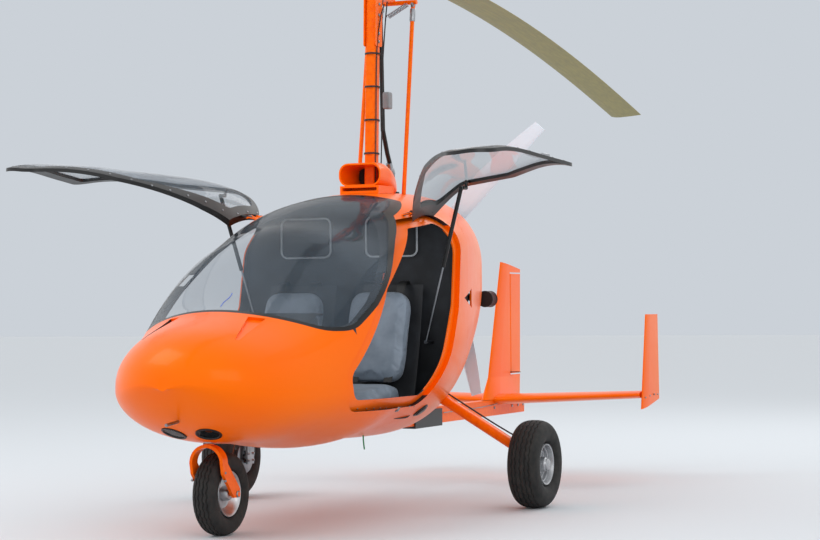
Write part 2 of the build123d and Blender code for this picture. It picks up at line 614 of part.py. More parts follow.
def build_tail():
    fin_rows = [(FIN_FLARE, 84), (FIN_BASE, 36), (FIN_TOP, 24)]
    def hinge_x(row):
        return row[1] + RUDDER_SHARE * (row[0] - row[1])
    top_cut = across(side_profile(FIN_TOP_CUT), -200, 200)
    whole = loft([fin_section(row[0], row[1], thick, 0, row[2]) for row, thick in fin_rows], ruled=True) - top_cut
    base_x, top_x = hinge_x(FIN_BASE), hinge_x(FIN_TOP)
    hinge = (base_x + top_x) / 2
    low_z, high_z = RUDDER_Z
    nose_post = rod_between((hinge, 0, low_z), (hinge, 0, high_z), RUDDER_NOSE_R)
    room = rod_between((hinge, 0, low_z - 8), (hinge, 0, high_z + 8), RUDDER_NOSE_R + 7)
    room += block(hinge, -2300, -200, 200, low_z - 8, high_z + 8)
    fin = whole - room
    rudder = (whole & block(hinge, -2300, -200, 200, low_z, high_z)) + nose_post
    for start, end in ((low_z - 16, low_z + 36), (high_z + 16, high_z - 36)):
        fin += rod_between((hinge, 0, start), (hinge, 0, end), 4)
        rudder -= rod_between((hinge, 0, start), (hinge, 0, end + (1 if end > start else -1)), 4 + RUNNING_GAP)
    nodes["rudder"] = rudder
    half_stab = []
    for side in (1, -1):
        rows = [(STAB_ROOT, 0, 62, STAB_Z), (STAB_TIP, side * STAB_HALF_SPAN, 42, STAB_TIP_Z)]
        faces = []
        for (lead, trail), y, thick, z in rows:
            plane = Plane(origin=(lead, y, z), x_dir=(1, 0, 0), z_dir=(0, 1, 0))
            faces.append(airfoil(lead - trail, thick, plane))
        half_stab.append(loft(faces, ruled=True))
    stab = half_stab[0] + half_stab[1]
    stab -= block(-2300, 0, -KEEL_WIDTH / 2 - 0.5, KEEL_WIDTH / 2 + 0.5, KEEL_BOTTOM_Z - 5, KEEL_TOP_Z + 0.5)
    nodes["tail_plane"] = stab
    nodes["centre_fin"] = fin - stab - block(-2300, 0, -200, 200, 0, KEEL_TOP_Z + 0.5)
    for side, name in ((1, "port"), (-1, "starboard")):
        y = side * (STAB_HALF_SPAN + 14)
        rows = [(STAB_TIP, 26, TIP_FIN_BOTTOM_Z), (TIP_FIN_TOP, 18, TIP_FIN_TOP_Z)]
        fin = loft([fin_section(a, b, thick, y, z) for (a, b), thick, z in rows], ruled=True)
        nodes["tip_fin_" + name] = fin - across(side_profile(TIP_FIN_CUT), -1000, 1000)


def build_rotor():
    housing_low = ROTOR_Z - 108
    housing_high = ROTOR_Z - 58
    head = block(-32, 90, -MAST_SIDE / 2, MAST_SIDE / 2, housing_low - 44, housing_low)
    head += rod_between((0, 0, housing_low), (0, 0, housing_high), 40)
    head -= rod_between((0, 0, housing_low - 16), (0, 0, housing_high + 1), ROTOR_SHAFT_R + RUNNING_GAP)
    nodes["rotor_head"] = head
    arm = block(-172, -32.2, -20, 20, housing_low - 70, housing_low - 12)
    arm += round_bar((ROD_HIGH[0], 0, TORQUE_BAR_Z), Y_AXIS, 12, 290)
    nodes["torque_bar"] = arm
    shaft = rod_between((0, 0, housing_low - 12), (0, 0, ROTOR_Z - 40), ROTOR_SHAFT_R)
    shaft += block(-45, 45, -34, 34, ROTOR_Z - 52, ROTOR_Z - 40)
    for side in (1, -1):
        cheek_y = sorted((side * 28, side * 34))
        shaft += block(-22, 22, *cheek_y, ROTOR_Z - 50, ROTOR_Z + 18)
    shaft += round_bar((0, 0, ROTOR_Z), Y_AXIS, 6, 68)
    nodes["teeter_tower"] = shaft
    hub = block(-BLADE_ROOT_R, BLADE_ROOT_R, -22, 22, ROTOR_Z - 14, ROTOR_Z + 14)
    hub -= round_bar((0, 0, ROTOR_Z), Y_AXIS, 6 + RUNNING_GAP, 100)
    nodes["hub_bar"] = hub
    for way, name in ((1, "fore"), (-1, "aft")):
        faces = []
        for share in (0.0, 0.35, 0.7, 1.0):
            r = BLADE_ROOT_R + 4 + share * (ROTOR_R - BLADE_ROOT_R - 4)
            droop = BLADE_DROOP * (1.35 * share ** 2 - 0.35 * share ** 3)
            x_dir = (0, way, 0)
            plane = Plane(origin=(way * r, way * 0.3 * BLADE_CHORD, ROTOR_Z - droop), x_dir=x_dir, z_dir=(way, 0, 0))
            faces.append(airfoil(BLADE_CHORD, BLADE_THICK, plane))
        nodes["blade_" + name] = loft(faces)
    for name in ("teeter_tower", "hub_bar", "blade_fore", "blade_aft"):
        nodes[name] = Rot(0, 0, ROTOR_AZIMUTH) * nodes[name]


def build_propeller():
    hub_back, hub_front = PROP_X - PROP_HUB_BACK, PROP_X + PROP_HUB_FRONT
    nodes["propeller_hub"] = rod_between((hub_back, 0, PROP_Z), (hub_front, 0, PROP_Z), PROP_HUB_R)
    blades = None
    for n in range(PROP_BLADES):
        faces = []
        for r, chord, thick, pitch in PROP_ROWS:
            plane = Plane(origin=(0, 0, r), x_dir=(0, 1, 0), z_dir=(0, 0, 1))
            plane = plane.rotated((0, 0, pitch))
            faces.append(airfoil(chord, thick, plane))
        blade = loft(faces)
        turn = Rot(-(PROP_PHASE + n * 360 / PROP_BLADES), 0, 0)
        blade = Pos(PROP_X, 0, PROP_Z) * turn * Pos(0, PROP_LEAD, 0) * blade
        blades = blade if blades is None else blades + blade
    nodes["propeller_blades"] = blades - nodes["propeller_hub"]


def build_power():
    engine = block(*ENGINE_X, -ENGINE_HALF_WIDTH, ENGINE_HALF_WIDTH, *ENGINE_Z)
    engine += rod_between((GEARBOX_BACK_X, 0, PROP_Z), (ENGINE_X[0], 0, PROP_Z), GEARBOX_R)
    shaft_end = PROP_X + PROP_HUB_FRONT + FIT_GAP
    engine += rod_between((shaft_end, 0, PROP_Z), (GEARBOX_BACK_X, 0, PROP_Z), PROP_SHAFT_R)
    nodes["engine"] = engine
    mount = block(-70, 70, -40, 40, 1100, 1300) - mast_body(MAST_SIDE + 0.6)
    nodes["engine_mount"] = mount
    nodes["air_filter"] = round_bar(FILTER_AT, (1, 0, 0), FILTER_R, FILTER_LENGTH)
    nodes["air_filter"] += rod_between((-665, 290, 1041), (-530, 180, 1060), 20) - engine


def build_cabin():
    profile = side_profile(SEAT_PROFILE, SEAT_CORNER)
    for side, name in ((1, "port"), (-1, "starboard")):
        y0, y1 = sorted((side * SEAT_INNER_Y, side * SEAT_OUTER_Y))
        nodes["seat_" + name] = across(profile, y0, y1) & hull_solid(WALL + 6, 1)
    panel = side_profile(PANEL_PROFILE, PANEL_CORNER)
    nodes["instrument_panel"] = across(panel, -PANEL_HALF_WIDTH, PANEL_HALF_WIDTH)
    console = block(*CONSOLE_X, -CONSOLE_HALF_WIDTH, CONSOLE_HALF_WIDTH, FLOOR_Z + FLOOR_THICK + FIT_GAP / 2, CONSOLE_TOP_Z)
    nodes["centre_console"] = console - nodes["instrument_panel"]
    sticks = None
    for side in (1, -1):
        foot = (STICK_LOW[0], side * STICK_LOW[1], FLOOR_Z + FLOOR_THICK + 3)
        stick = rod_between(foot, (STICK_HIGH[0], side * STICK_HIGH[1], STICK_HIGH[2]), 12)
        sticks = stick if sticks is None else sticks + stick
    nodes["control_sticks"] = sticks
    nodes["cabin_levers"] = rod_between((900, 0, 560), (960, 0, 680), 8)
    pedals = None
    for y in PEDAL_Y:
        pedal = round_bar((1640, y, 560), Y_AXIS, 10, 90)
        pedals = pedal if pedals is None else pedals + pedal
    nodes["rudder_pedals"] = pedals


def build_outside():
    front = Plane.YZ.offset(SCOOP_FRONT_X) * Pos(0, 1672) * RectangleRounded(232, 116, 50)
    middle = Plane.YZ.offset(80) * Pos(0, 1664) * RectangleRounded(206, 126, 50)
    rear = Plane.YZ.offset(SCOOP_REAR_X) * Pos(0, 1616) * RectangleRounded(90, 46, 20)
    scoop = loft([front, middle, rear])
    mouth = Plane.YZ.offset(SCOOP_FRONT_X + 1) * Pos(0, 1672) * RectangleRounded(216, 100, 42)
    throat = Plane.YZ.offset(30) * Pos(0, 1664) * RectangleRounded(180, 96, 42)
    scoop -= loft([mouth, throat])
    scoop += block(60, SCOOP_FRONT_X + 4, -108, 108, 1570, 1616)
    scoop -= block(150, SCOOP_FRONT_X + 10, -96, 96, 1589, 1606)
    scoop -= mast_body(MAST_SIDE + 4)
    scoop -= hull_solid(-0.6)
    nodes["intake_scoop"] = scoop
    rods = None
    for side in (1, -1):
        low = (ROD_LOW[0], side * ROD_LOW[1], ROD_LOW[2])
        high = (ROD_HIGH[0], side * ROD_HIGH[1], ROD_HIGH[2])
        rod = rod_between(low, high, ROD_D / 2)
        rods = rod if rods is None else rods + rod
    nodes["control_rods"] = rods
    run = Polyline(*[Vector(*point) for point in SPIN_SHAFT])
    sheath = sweep(Plane(origin=run @ 0, z_dir=run % 0) * Circle(SPIN_SHAFT_R), path=run, transition=Transition.ROUND)
    foot = Vector(*SPIN_SHAFT[-1])
    flange = rod_between(foot - Vector(0, 0, 8), foot + Vector(0, 0, 12), 24)
    nodes["engine_cowl_port"] -= flange
    nodes["engine_cowl_starboard"] -= flange
    top = Vector(*SPIN_SHAFT[0])
    sheath += rod_between(top, top - Vector(0, 0, 46), 19)
    nodes["spin_up_shaft"] = sheath + flange
    back, front = KEEL_SLEEVE_X
    half = KEEL_WIDTH / 2 + KEEL_SLEEVE_WALL
    sleeve = block(back, front, -half, half, KEEL_BOTTOM_Z - 14, KEEL_TOP_Z - 10)
    nodes["keel_sleeve"] = sleeve - block(back - 10, front + 10, -KEEL_WIDTH / 2, KEEL_WIDTH / 2, KEEL_BOTTOM_Z, KEEL_TOP_Z)
    nodes["pitot_tube"] = rod_between((2060, 0, 520), (2160, 0, 510), 7)


build_hull()
build_frame()
build_wheels()
build_nose_gear()
build_tail()
build_rotor()
build_propeller()
build_power()
build_cabin()
build_outside()

os.makedirs("parts", exist_ok=True)
for old in os.listdir("parts"):
    os.remove("parts/" + old)
for name, shape in nodes.items():
    export_step(shape, f"parts/{name}.step")
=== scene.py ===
"""An enclosed two-seat gyrocopter with raised doors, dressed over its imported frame."""
import json
import math

import bmesh
import bpy
import numpy as np
from bpy.props import FloatProperty, StringProperty
from mathutils import Matrix, Vector


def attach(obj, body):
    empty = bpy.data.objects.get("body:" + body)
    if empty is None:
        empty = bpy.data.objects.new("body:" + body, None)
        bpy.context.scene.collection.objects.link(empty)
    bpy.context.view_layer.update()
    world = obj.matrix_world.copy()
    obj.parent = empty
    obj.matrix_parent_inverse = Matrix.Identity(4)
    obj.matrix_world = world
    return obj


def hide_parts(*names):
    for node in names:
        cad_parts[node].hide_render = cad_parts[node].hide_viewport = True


bl_info = {
    "name": "Enclosed gyrocopter",
    "version": (1, 0, 0),
    "blender": (4, 5, 0),
    "location": "View3D > Sidebar > Gyrocopter",
    "description": "Builds the looks of an enclosed two-seat gyrocopter over its packed frame",
    "category": "Object",
}

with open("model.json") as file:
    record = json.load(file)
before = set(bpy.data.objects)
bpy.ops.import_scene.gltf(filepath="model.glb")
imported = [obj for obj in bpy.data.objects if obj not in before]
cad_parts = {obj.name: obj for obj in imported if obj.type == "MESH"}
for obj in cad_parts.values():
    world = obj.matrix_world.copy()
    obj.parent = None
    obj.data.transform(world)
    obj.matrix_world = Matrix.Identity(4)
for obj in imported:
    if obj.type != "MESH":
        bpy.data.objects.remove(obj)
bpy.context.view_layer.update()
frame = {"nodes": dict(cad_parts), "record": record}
NODES = frame["nodes"]
TAU = 2 * math.pi

# Heights of the hull's middle line, as (x, z) in metres
HULL_MIDDLE = [(-0.7, 1.12), (-0.35, 1.03), (0.05, 0.98), (0.5, 0.95), (0.95, 0.88), (1.35, 0.8),
               (1.7, 0.7), (2.2, 0.68)]

# Places in millimetres that follow the CAD
MAIN_WHEEL = (40.0, 856.0, 217.5)
NOSE_WHEEL = (1690.0, 0.0, 184.5)
DOOR_HINGE = (450.0, 460.0, 1461.0)
DOOR_HINGE_DIR = (1.0, -0.085, -0.03)
DOOR_OPEN_DEG = 94.0
DOOR_OPENING = [(372, 1418), (655, 1376), (1090, 1085), (1480, 700), (1458, 590), (690, 582), (442, 1010)]
WINDSHIELD = [(1930, 1075), (1560, 897), (1425, 897), (1240, 1011), (833, 1316), (648, 1440), (400, 1522),
              (400, 1900), (1930, 1900)]
ORANGE_GLINT = (1.0, 0.45, 0.08, 1.0)
WHITE_GLINT = (1.0, 1.0, 1.0, 1.0)
ROTOR_AZIMUTH_DEG = 1.35
ROTOR_Z = 2770.0
PROP_AT = (-752.0, 0.0, 1355.0)
PROP_PHASE_DEG = 44.9

MAIN_TYRE_WIDTH = 160.0
NOSE_TYRE_WIDTH = 110.0
TYRE_BEAD_R = 99.0
FORK_FACE_Y = 83
SEAT_Y = 236
STICK_Y = 260
CUSHION_CAP_MM = 12
ROD_TOP = (-165, 124, 2574)
ROD_FOOT = (-12, 130, 1562)
BARREL_X = (-210, -395)
GEARBOX_AT = (-538, 0, 1355)
FILTER_AT = (-674, 324, 1041)

# The photograph's camera, in metres and degrees, with its lens for a 36 mm wide sensor
CAMERA_PLACE = (9.799, 4.523, 0.994)
CAMERA_YAW_DEG = 23.96
CAMERA_PITCH_DEG = 1.05
CAMERA_ROLL_DEG = -0.45
CAMERA_LENS_MM = 91.94

SIDES = ((1, "port"), (-1, "starboard"))
MIRROR = np.array([1, -1, 1])

# Turned profiles in millimetres: (height along the axis, radius), from foot to top
MAIN_RIM = [(-62, 0), (-62, 30), (-58, 34), (-20, 38), (-20, 70), (-46, 84), (-60, 92), (-64, 101),
            (-58, 104), (-48, 100), (48, 100), (58, 104), (64, 101), (62, 94), (52, 90), (40, 87), (38, 82),
            (24, 80), (22, 74), (12, 71), (9, 66), (9, 46), (13, 42), (30, 38), (58, 35), (62, 30),
            (70, 28), (77, 18), (79, 0)]
NOSE_RIM = [(-46, 0), (-46, 24), (-38, 30), (-12, 34), (-9, 64), (-26, 80), (-38, 88), (-44, 100), (-38, 103),
            (-30, 100), (30, 100), (38, 103), (44, 100), (38, 88), (26, 80), (9, 64), (12, 34), (38, 30),
            (46, 24), (46, 0)]
BRAKE_DISC = [(-84, 34), (-84, 84), (-83, 86), (-79, 86), (-78, 84), (-78, 44), (-62, 40), (-62, 34),
              (-84, 34)]
STICK_GRIP = [(-70, 0), (-70, 13), (-60, 17), (-44, 15), (-30, 18), (-14, 15), (0, 18), (14, 16), (26, 20),
              (34, 17), (38, 8), (38, 0)]
GAUGE_BEZEL = [(-6, 0), (-6, 38), (6, 38), (9, 34), (7, 31), (3, 31), (3, 0)]
GAUGE_FACE = [(2, 0), (2, 30), (4.5, 30), (4.5, 0)]
DOOR_KEEPER = [(-4, 0), (-4, 15), (3, 15), (5, 12), (5, 6), (9, 5), (9, 0)]
FUEL_CAP = [(-6, 0), (-6, 44), (2, 44), (5, 41), (5, 34), (9, 32), (11, 26), (11, 0)]
RING_GEAR = [(0, 41), (0, 92), (5, 92), (5, 41), (0, 41)]
SPIN_DRIVE = [(0, 0), (0, 20), (34, 20), (36, 15), (50, 15), (52, 11), (64, 11), (66, 0)]
ROD_EYE = [(-9, 0), (-9, 12), (-6, 17), (6, 17), (9, 12), (9, 0)]
ROD_SLEEVE = [(0, 0), (0, 13), (4, 15), (64, 15), (68, 13), (68, 0)]
CABLE_TIE = [(-4, 36), (-4, 40), (4, 40), (4, 36), (-4, 36)]
SHAFT_FERRULE = [(0, 0), (0, 19), (6, 22), (34, 22), (38, 17), (70, 15), (72, 0)]
BARREL_FIN = [(0, 52), (0.6, 66), (2.6, 66), (3.2, 52)]
MUFFLER = [(-190, 0), (-190, 60), (-180, 72), (-60, 75), (-56, 72), (60, 72), (64, 75), (180, 72), (190, 60),
           (190, 0)]
GEARBOX = [(0, 0), (0, 100), (14, 106), (34, 106), (40, 96), (70, 88), (92, 60), (112, 54), (118, 34),
           (150, 32), (150, 0)]
FILTER_PLEATS = [(-32, 30), (-32, 41), (32, 41), (32, 30), (-32, 30)]
PROP_HUB = [(-62, 0), (-62, 40), (-56, 46), (-30, 48), (-24, 60), (14, 62), (18, 60), (20, 50), (30, 46),
            (36, 38), (38, 14), (40, 0)]
BLADE_CUFF = [(34, 0), (34, 27), (66, 27), (72, 24), (92, 22), (94, 0)]
LAMP_BEZEL = [(-6, 46), (-6, 58), (-1, 58), (1, 54), (0, 49), (-6, 46)]
LAMP_BOWL = [(-17, 0), (-17, 14), (-14, 30), (-7, 47), (-6, 50), (-17.5, 50), (-17.5, 0)]


def linear(hex_text):
    """An sRGB hex colour as the linear RGBA that Blender's sockets take."""
    values = [int(hex_text[i:i + 2], 16) / 255 for i in (1, 3, 5)]
    return tuple(v / 12.92 if v <= 0.04045 else ((v + 0.055) / 1.055) ** 2.4 for v in values) + (1.0,)


def add(tree, kind, inputs=None, **settings):
    """Adds one shader node; inputs maps each socket to a value or to the output that feeds it."""
    made = tree.nodes.new(kind)
    for name, value in settings.items():
        setattr(made, name, value)
    for socket, value in (inputs or {}).items():
        if isinstance(value, bpy.types.NodeSocket):
            tree.links.new(value, made.inputs[socket])
        else:
            made.inputs[socket].default_value = value
    return made


def ramp(tree, fac, stops):
    """A colour ramp over fac with stops of (place, hex colour)."""
    made = add(tree, "ShaderNodeValToRGB", {"Fac": fac})
    while len(made.color_ramp.elements) < len(stops):
        made.color_ramp.elements.new(0.5)
    for element, (place, colour) in zip(made.color_ramp.elements, stops):
        element.position = place
        element.color = linear(colour)
    return made.outputs["Color"]


def material(name, **sockets):
    """A new node material with its Principled shader; sockets are set on the shader itself."""
    made = bpy.data.materials.new(name)
    made.use_nodes = True
    tree = made.node_tree
    shader = tree.nodes["Principled BSDF"]
    for socket, value in sockets.items():
        shader.inputs[socket.replace("_", " ")].default_value = value
    place = add(tree, "ShaderNodeTexCoord").outputs["Object"]
    return made, tree, shader, place


def noise(tree, place, size_mm, detail=3.0, rough=0.55):
    """Noise whose blotches are about size_mm across."""
    return add(tree, "ShaderNodeTexNoise", {"Vector": place, "Scale": 1000 / size_mm, "Detail": detail,
                                            "Roughness": rough}).outputs["Fac"]


def bump(tree, shader, height, strength, depth_mm):
    """Feeds a height of 0 to 1, depth_mm deep, to the shader's normal."""
    made = add(tree, "ShaderNodeBump",
               {"Height": height, "Strength": strength, "Distance": depth_mm / 1000})
    tree.links.new(made.outputs["Normal"], shader.inputs["Normal"])


def span(tree, value, low, high):
    """Maps 0..1 to low..high for a roughness or a mix."""
    return add(tree, "ShaderNodeMapRange",
               {"Value": value, "To Min": low, "To Max": high}).outputs["Result"]


def gelcoat(name, bright, deep, glint):
    """Glass fibre with a polished polyester gelcoat: a thin clear coat over a colour that drifts slightly."""
    made, tree, shader, place = material(
        name, Roughness=0.36, Coat_Weight=0.12, Coat_Roughness=0.05, Specular_IOR_Level=0.4,
        Specular_Tint=glint)
    drift = noise(tree, place, 700, 1.0)
    tree.links.new(ramp(tree, drift, [(0.35, deep), (0.65, bright)]), shader.inputs["Base Color"])
    tree.links.new(span(tree, noise(tree, place, 60), 0.3, 0.4), shader.inputs["Roughness"])
    bump(tree, shader, noise(tree, place, 12, 1.0), 0.05, 0.15)
    return made


def enamel(name, bright, deep, glint=WHITE_GLINT):
    """Welded steel tube in stove enamel: glossy, with small runs and rub marks."""
    made, tree, shader, place = material(
        name, Roughness=0.34, Coat_Weight=0.12, Coat_Roughness=0.1, IOR=1.4, Specular_Tint=glint)
    rub = noise(tree, place, 26, 4.0)
    tree.links.new(ramp(tree, rub, [(0.3, deep), (0.6, bright)]), shader.inputs["Base Color"])
    tree.links.new(span(tree, rub, 0.22, 0.42), shader.inputs["Roughness"])
    bump(tree, shader, noise(tree, place, 5, 2.0), 0.1, 0.2)
    return made


def moulding(name, colour, worn, rough=0.45, grain_mm=1.6):
    """Moulded or painted plastic with a fine leather-like grain, drawn coarse enough to show."""
    made, tree, shader, place = material(name, Roughness=rough, IOR=1.5)
    wear = noise(tree, place, 90, 4.0)
    tree.links.new(ramp(tree, wear, [(0.4, colour), (0.75, worn)]), shader.inputs["Base Color"])
    tree.links.new(span(tree, wear, rough - 0.08, rough + 0.12), shader.inputs["Roughness"])
    cells = add(tree, "ShaderNodeTexVoronoi",
                {"Vector": place, "Scale": 1000 / grain_mm}).outputs["Distance"]
    bump(tree, shader, cells, 0.06, 0.03)
    return made


def metal(name, colour, dark, rough, brush_mm, stretch=(1.0, 1.0, 0.06)):
    """Aluminium or steel with drawn or machined marks brush_mm apart; stretch lays them along one axis."""
    made, tree, shader, place = material(name, Metallic=1.0, Roughness=rough)
    along = add(tree, "ShaderNodeMapping", {"Vector": place, "Scale": stretch}).outputs["Vector"]
    marks = noise(tree, along, brush_mm, 4.0)
    blotch = noise(tree, place, 70, 3.0)
    tree.links.new(ramp(tree, blotch, [(0.3, dark), (0.7, colour)]), shader.inputs["Base Color"])
    tree.links.new(span(tree, marks, rough - 0.1, rough + 0.14), shader.inputs["Roughness"])
    bump(tree, shader, marks, 0.12, 0.1)
    return made


def tinted_glass(name, tint, hazy, alpha):
    """Blown polycarbonate: a tint that lets most light straight through, its haze drifting a little."""
    made, tree, shader, place = material(name, Roughness=0.02, IOR=1.5)
    haze = noise(tree, place, 300, 2.0)
    tree.links.new(ramp(tree, haze, [(0.3, tint), (0.8, hazy)]), shader.inputs["Base Color"])
    tree.links.new(span(tree, haze, alpha - 0.03, alpha + 0.05), shader.inputs["Alpha"])
    return made


def tyre_rubber(name):
    """Vulcanised rubber, matt and dusty in the grooves."""
    made, tree, shader, place = material(name, Roughness=0.8, IOR=1.5)
    dust = noise(tree, place, 35, 5.0)
    tree.links.new(ramp(tree, dust, [(0.35, "#141414"), (0.8, "#2E2C29")]), shader.inputs["Base Color"])
    bump(tree, shader, noise(tree, place, 3, 4.0), 0.3, 0.4)
    return made


def blade_metal(name):
    """Extruded aluminium rotor skin, anodised and weathered to a warm olive-brown, brushed along the span."""
    made, tree, shader, place = material(name, Metallic=0.55, Roughness=0.42)
    along = add(tree, "ShaderNodeMapping", {"Vector": place, "Scale": (0.03, 1.0, 1.0)}).outputs["Vector"]
    marks = noise(tree, along, 14, 5.0)
    tree.links.new(ramp(tree, marks, [(0.3, "#857A45"), (0.7, "#A0945A")]), shader.inputs["Base Color"])
    tree.links.new(span(tree, marks, 0.34, 0.52), shader.inputs["Roughness"])
    bump(tree, shader, marks, 0.1, 0.15)
    return made


def leather(name, colour, deep):
    """Perforation-free synthetic leather: pebbled grain about 2 mm across with a soft sheen."""
    made, tree, shader, place = material(name, Roughness=0.5, Sheen_Weight=0.15)
    fade = noise(tree, place, 120, 3.0)
    tree.links.new(ramp(tree, fade, [(0.35, deep), (0.7, colour)]), shader.inputs["Base Color"])
    grain = add(tree, "ShaderNodeTexVoronoi", {"Vector": place, "Scale": 500.0}).outputs["Distance"]
    bump(tree, shader, grain, 0.3, 0.3)
    return made


FINISHES = {}


def make_finishes():
    """Every finish on the aircraft, by the record's slot names where a slot has one."""
    FINISHES.update({
        "orange_paint": gelcoat("orange_gelcoat", "#FF7000", "#FF6400", ORANGE_GLINT),
        "orange_metal": enamel("orange_enamel", "#FF6A00", "#F55C02", ORANGE_GLINT),
        "black_frame": moulding("black_lacquered_composite", "#040405", "#0B0B0C", 0.34, 2.5),
        "tinted_glass": tinted_glass("tinted_polycarbonate", "#46525E", "#6B7986", 0.24),
        "cabin_black": moulding("black_abs", "#1D1F23", "#2D3036", 0.55),
        "floor_grey": moulding("ribbed_floor_rubber", "#1F2022", "#333436", 0.7, 4.0),
        "seat_cloth": leather("grey_blue_leather", "#8F9BAA", "#76828F"),
        "tyre_rubber": tyre_rubber("vulcanised_rubber"),
        "rim_alloy": metal("cast_aluminium", "#C9CACC", "#9EA0A3", 0.36, 5, (1.0, 1.0, 1.0)),
        "bare_alloy": metal("machined_aluminium", "#B8BABD", "#8D9094", 0.34, 2.5),
        "steel": metal("brushed_steel", "#A7A9AD", "#7C7F84", 0.3, 1.5),
        "engine_grey": metal("engine_casting", "#55575A", "#2E3033", 0.5, 6, (1.0, 1.0, 1.0)),
        "blade_skin": blade_metal("anodised_blade_skin"),
        "white_blade": gelcoat("white_gelcoat", "#EAF6FF", "#E0EEF8", WHITE_GLINT),
        "black_strut": enamel("black_powder_coat", "#161617", "#0A0A0B"),
        "lamp_glass": tinted_glass("lamp_glass", "#0B0C0D", "#262B2E", 0.62),
        "grip_rubber": moulding("grip_foam", "#131314", "#242426", 0.75, 3.0),
        "dial_face": moulding("gauge_face", "#08090A", "#2A2C2E", 0.2, 14.0),
        "grey_tube": enamel("light_grey_enamel", "#B9BEC2", "#A3A9AE"),
        "brake_red": enamel("rust_red_enamel", "#5A1B14", "#3F120D"),
        "exhaust": metal("heat_stained_steel", "#8C7F6E", "#5B4A3C", 0.42, 8, (1.0, 1.0, 1.0)),
        "green_hose": moulding("green_vinyl_tube", "#1F8A4C", "#2FA562", 0.35, 2.0),
        "blue_yarn": moulding("blue_yarn", "#1E4FC4", "#2F66DE", 0.8, 1.0),
        "black_hose": moulding("black_nitrile_hose", "#101011", "#1B1B1D", 0.5, 2.0),
        "grey_box": moulding("grey_nylon", "#7E8386", "#92979A", 0.55, 3.0),
    })


def grid(rows, cols, wrap_rows=False, wrap_cols=True):
    """Quads (i, j), (i+1, j), (i+1, j+1), (i, j+1) over a rows by cols grid of points."""
    i, j = np.meshgrid(np.arange(rows if wrap_rows else rows - 1),
                       np.arange(cols if wrap_cols else cols - 1), indexing="ij")
    ahead, over = (i + 1) % rows, (j + 1) % cols
    corners = [i * cols + j, ahead * cols + j, ahead * cols + over, i * cols + over]
    return np.stack(corners, -1).reshape(-1, 4)


def join(shapes):
    """Several (points, quads) shapes as one."""
    starts = np.cumsum([0] + [len(points) for points, _ in shapes[:-1]])
    faces = [quads + start for (_, quads), start in zip(shapes, starts)]
    return np.vstack([points for points, _ in shapes]), np.vstack(faces)


def piece(name, shape, finish, body, sharp_deg=38.0):
    """One closed mesh from points in millimetres and quads: poles merged, faces outward, on its body."""
    points, quads = shape
    mesh = bpy.data.meshes.new(name)
    mesh.vertices.add(len(points))
    mesh.vertices.foreach_set("co", (np.asarray(points, float) / 1000).ravel())
    mesh.loops.add(4 * len(quads))
    mesh.loops.foreach_set("vertex_index", quads.ravel())
    mesh.polygons.add(len(quads))
    mesh.polygons.foreach_set("loop_start", np.arange(0, 4 * len(quads), 4))
    mesh.update(calc_edges=True)
    mesh.validate()
    work = bmesh.new()
    work.from_mesh(mesh)
    bmesh.ops.remove_doubles(work, verts=work.verts, dist=2e-6)
    bmesh.ops.dissolve_degenerate(work, edges=work.edges, dist=1e-6)
    bmesh.ops.recalc_face_normals(work, faces=work.faces)
    work.to_mesh(mesh)
    work.free()
    mesh.shade_smooth()
    mesh.set_sharp_from_angle(angle=math.radians(sharp_deg))
    made = bpy.data.objects.new(name, mesh)
    bpy.context.scene.collection.objects.link(made)
    mesh.materials.append(FINISHES[finish])
    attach(made, body)
    return made


def basis(axis):
    """Two unit vectors square to an axis and to each other, and the axis."""
    axis = np.asarray(axis, float) / np.linalg.norm(axis)
    side = np.cross(axis, (0.0, 0.0, 1.0) if abs(axis[2]) < 0.9 else (1.0, 0.0, 0.0))
    side /= np.linalg.norm(side)
    return side, np.cross(axis, side), axis


def lathe(profile, centre, axis, steps=48, teeth=0, tooth=0.0):
    """P(k, t) = C + s_k A + r_k (1 + h tanh(3 sin(n t))) (U cos t + V sin t), for a profile of (s_k, r_k)."""
    side, over, axis = basis(axis)
    s, r = np.asarray(profile, float).T
    t = np.linspace(0, TAU, steps, endpoint=False)
    ring = np.cos(t)[:, None] * side + np.sin(t)[:, None] * over
    grow = 1 + tooth * np.tanh(3 * np.sin(teeth * t))
    points = np.asarray(centre) + s[:, None, None] * axis + r[:, None, None] * grow[None, :, None] * ring
    return points.reshape(-1, 3), grid(len(s), steps)


def tube(path, radius, steps=12, closed=False):
    """P(k, t) = c_k + R (u_k cos t + v_k sin t), u_k carried along the path without twist, ends closed."""
    c = np.asarray(path, float)
    run = np.roll(c, -1, 0) - np.roll(c, 1, 0) if closed else np.gradient(c, axis=0)
    run /= np.linalg.norm(run, axis=1)[:, None]
    side = basis(run[0])[0]
    frames = []
    for direction in run:
        side = side - direction * side.dot(direction)
        side = side / np.linalg.norm(side)
        frames.append((side, np.cross(direction, side)))
    u, v = np.array([f[0] for f in frames]), np.array([f[1] for f in frames])
    t = np.linspace(0, TAU, steps, endpoint=False)
    r = np.full(len(c), float(radius))
    if not closed:
        c, u, v, r = (np.concatenate([a[:1], a, a[-1:]]) for a in (c, u, v, r))
        r[0] = r[-1] = 0.0
    ring = np.cos(t)[None, :, None] * u[:, None] + np.sin(t)[None, :, None] * v[:, None]
    points = c[:, None] + r[:, None, None] * ring
    return points.reshape(-1, 3), grid(len(c), steps, wrap_rows=closed)


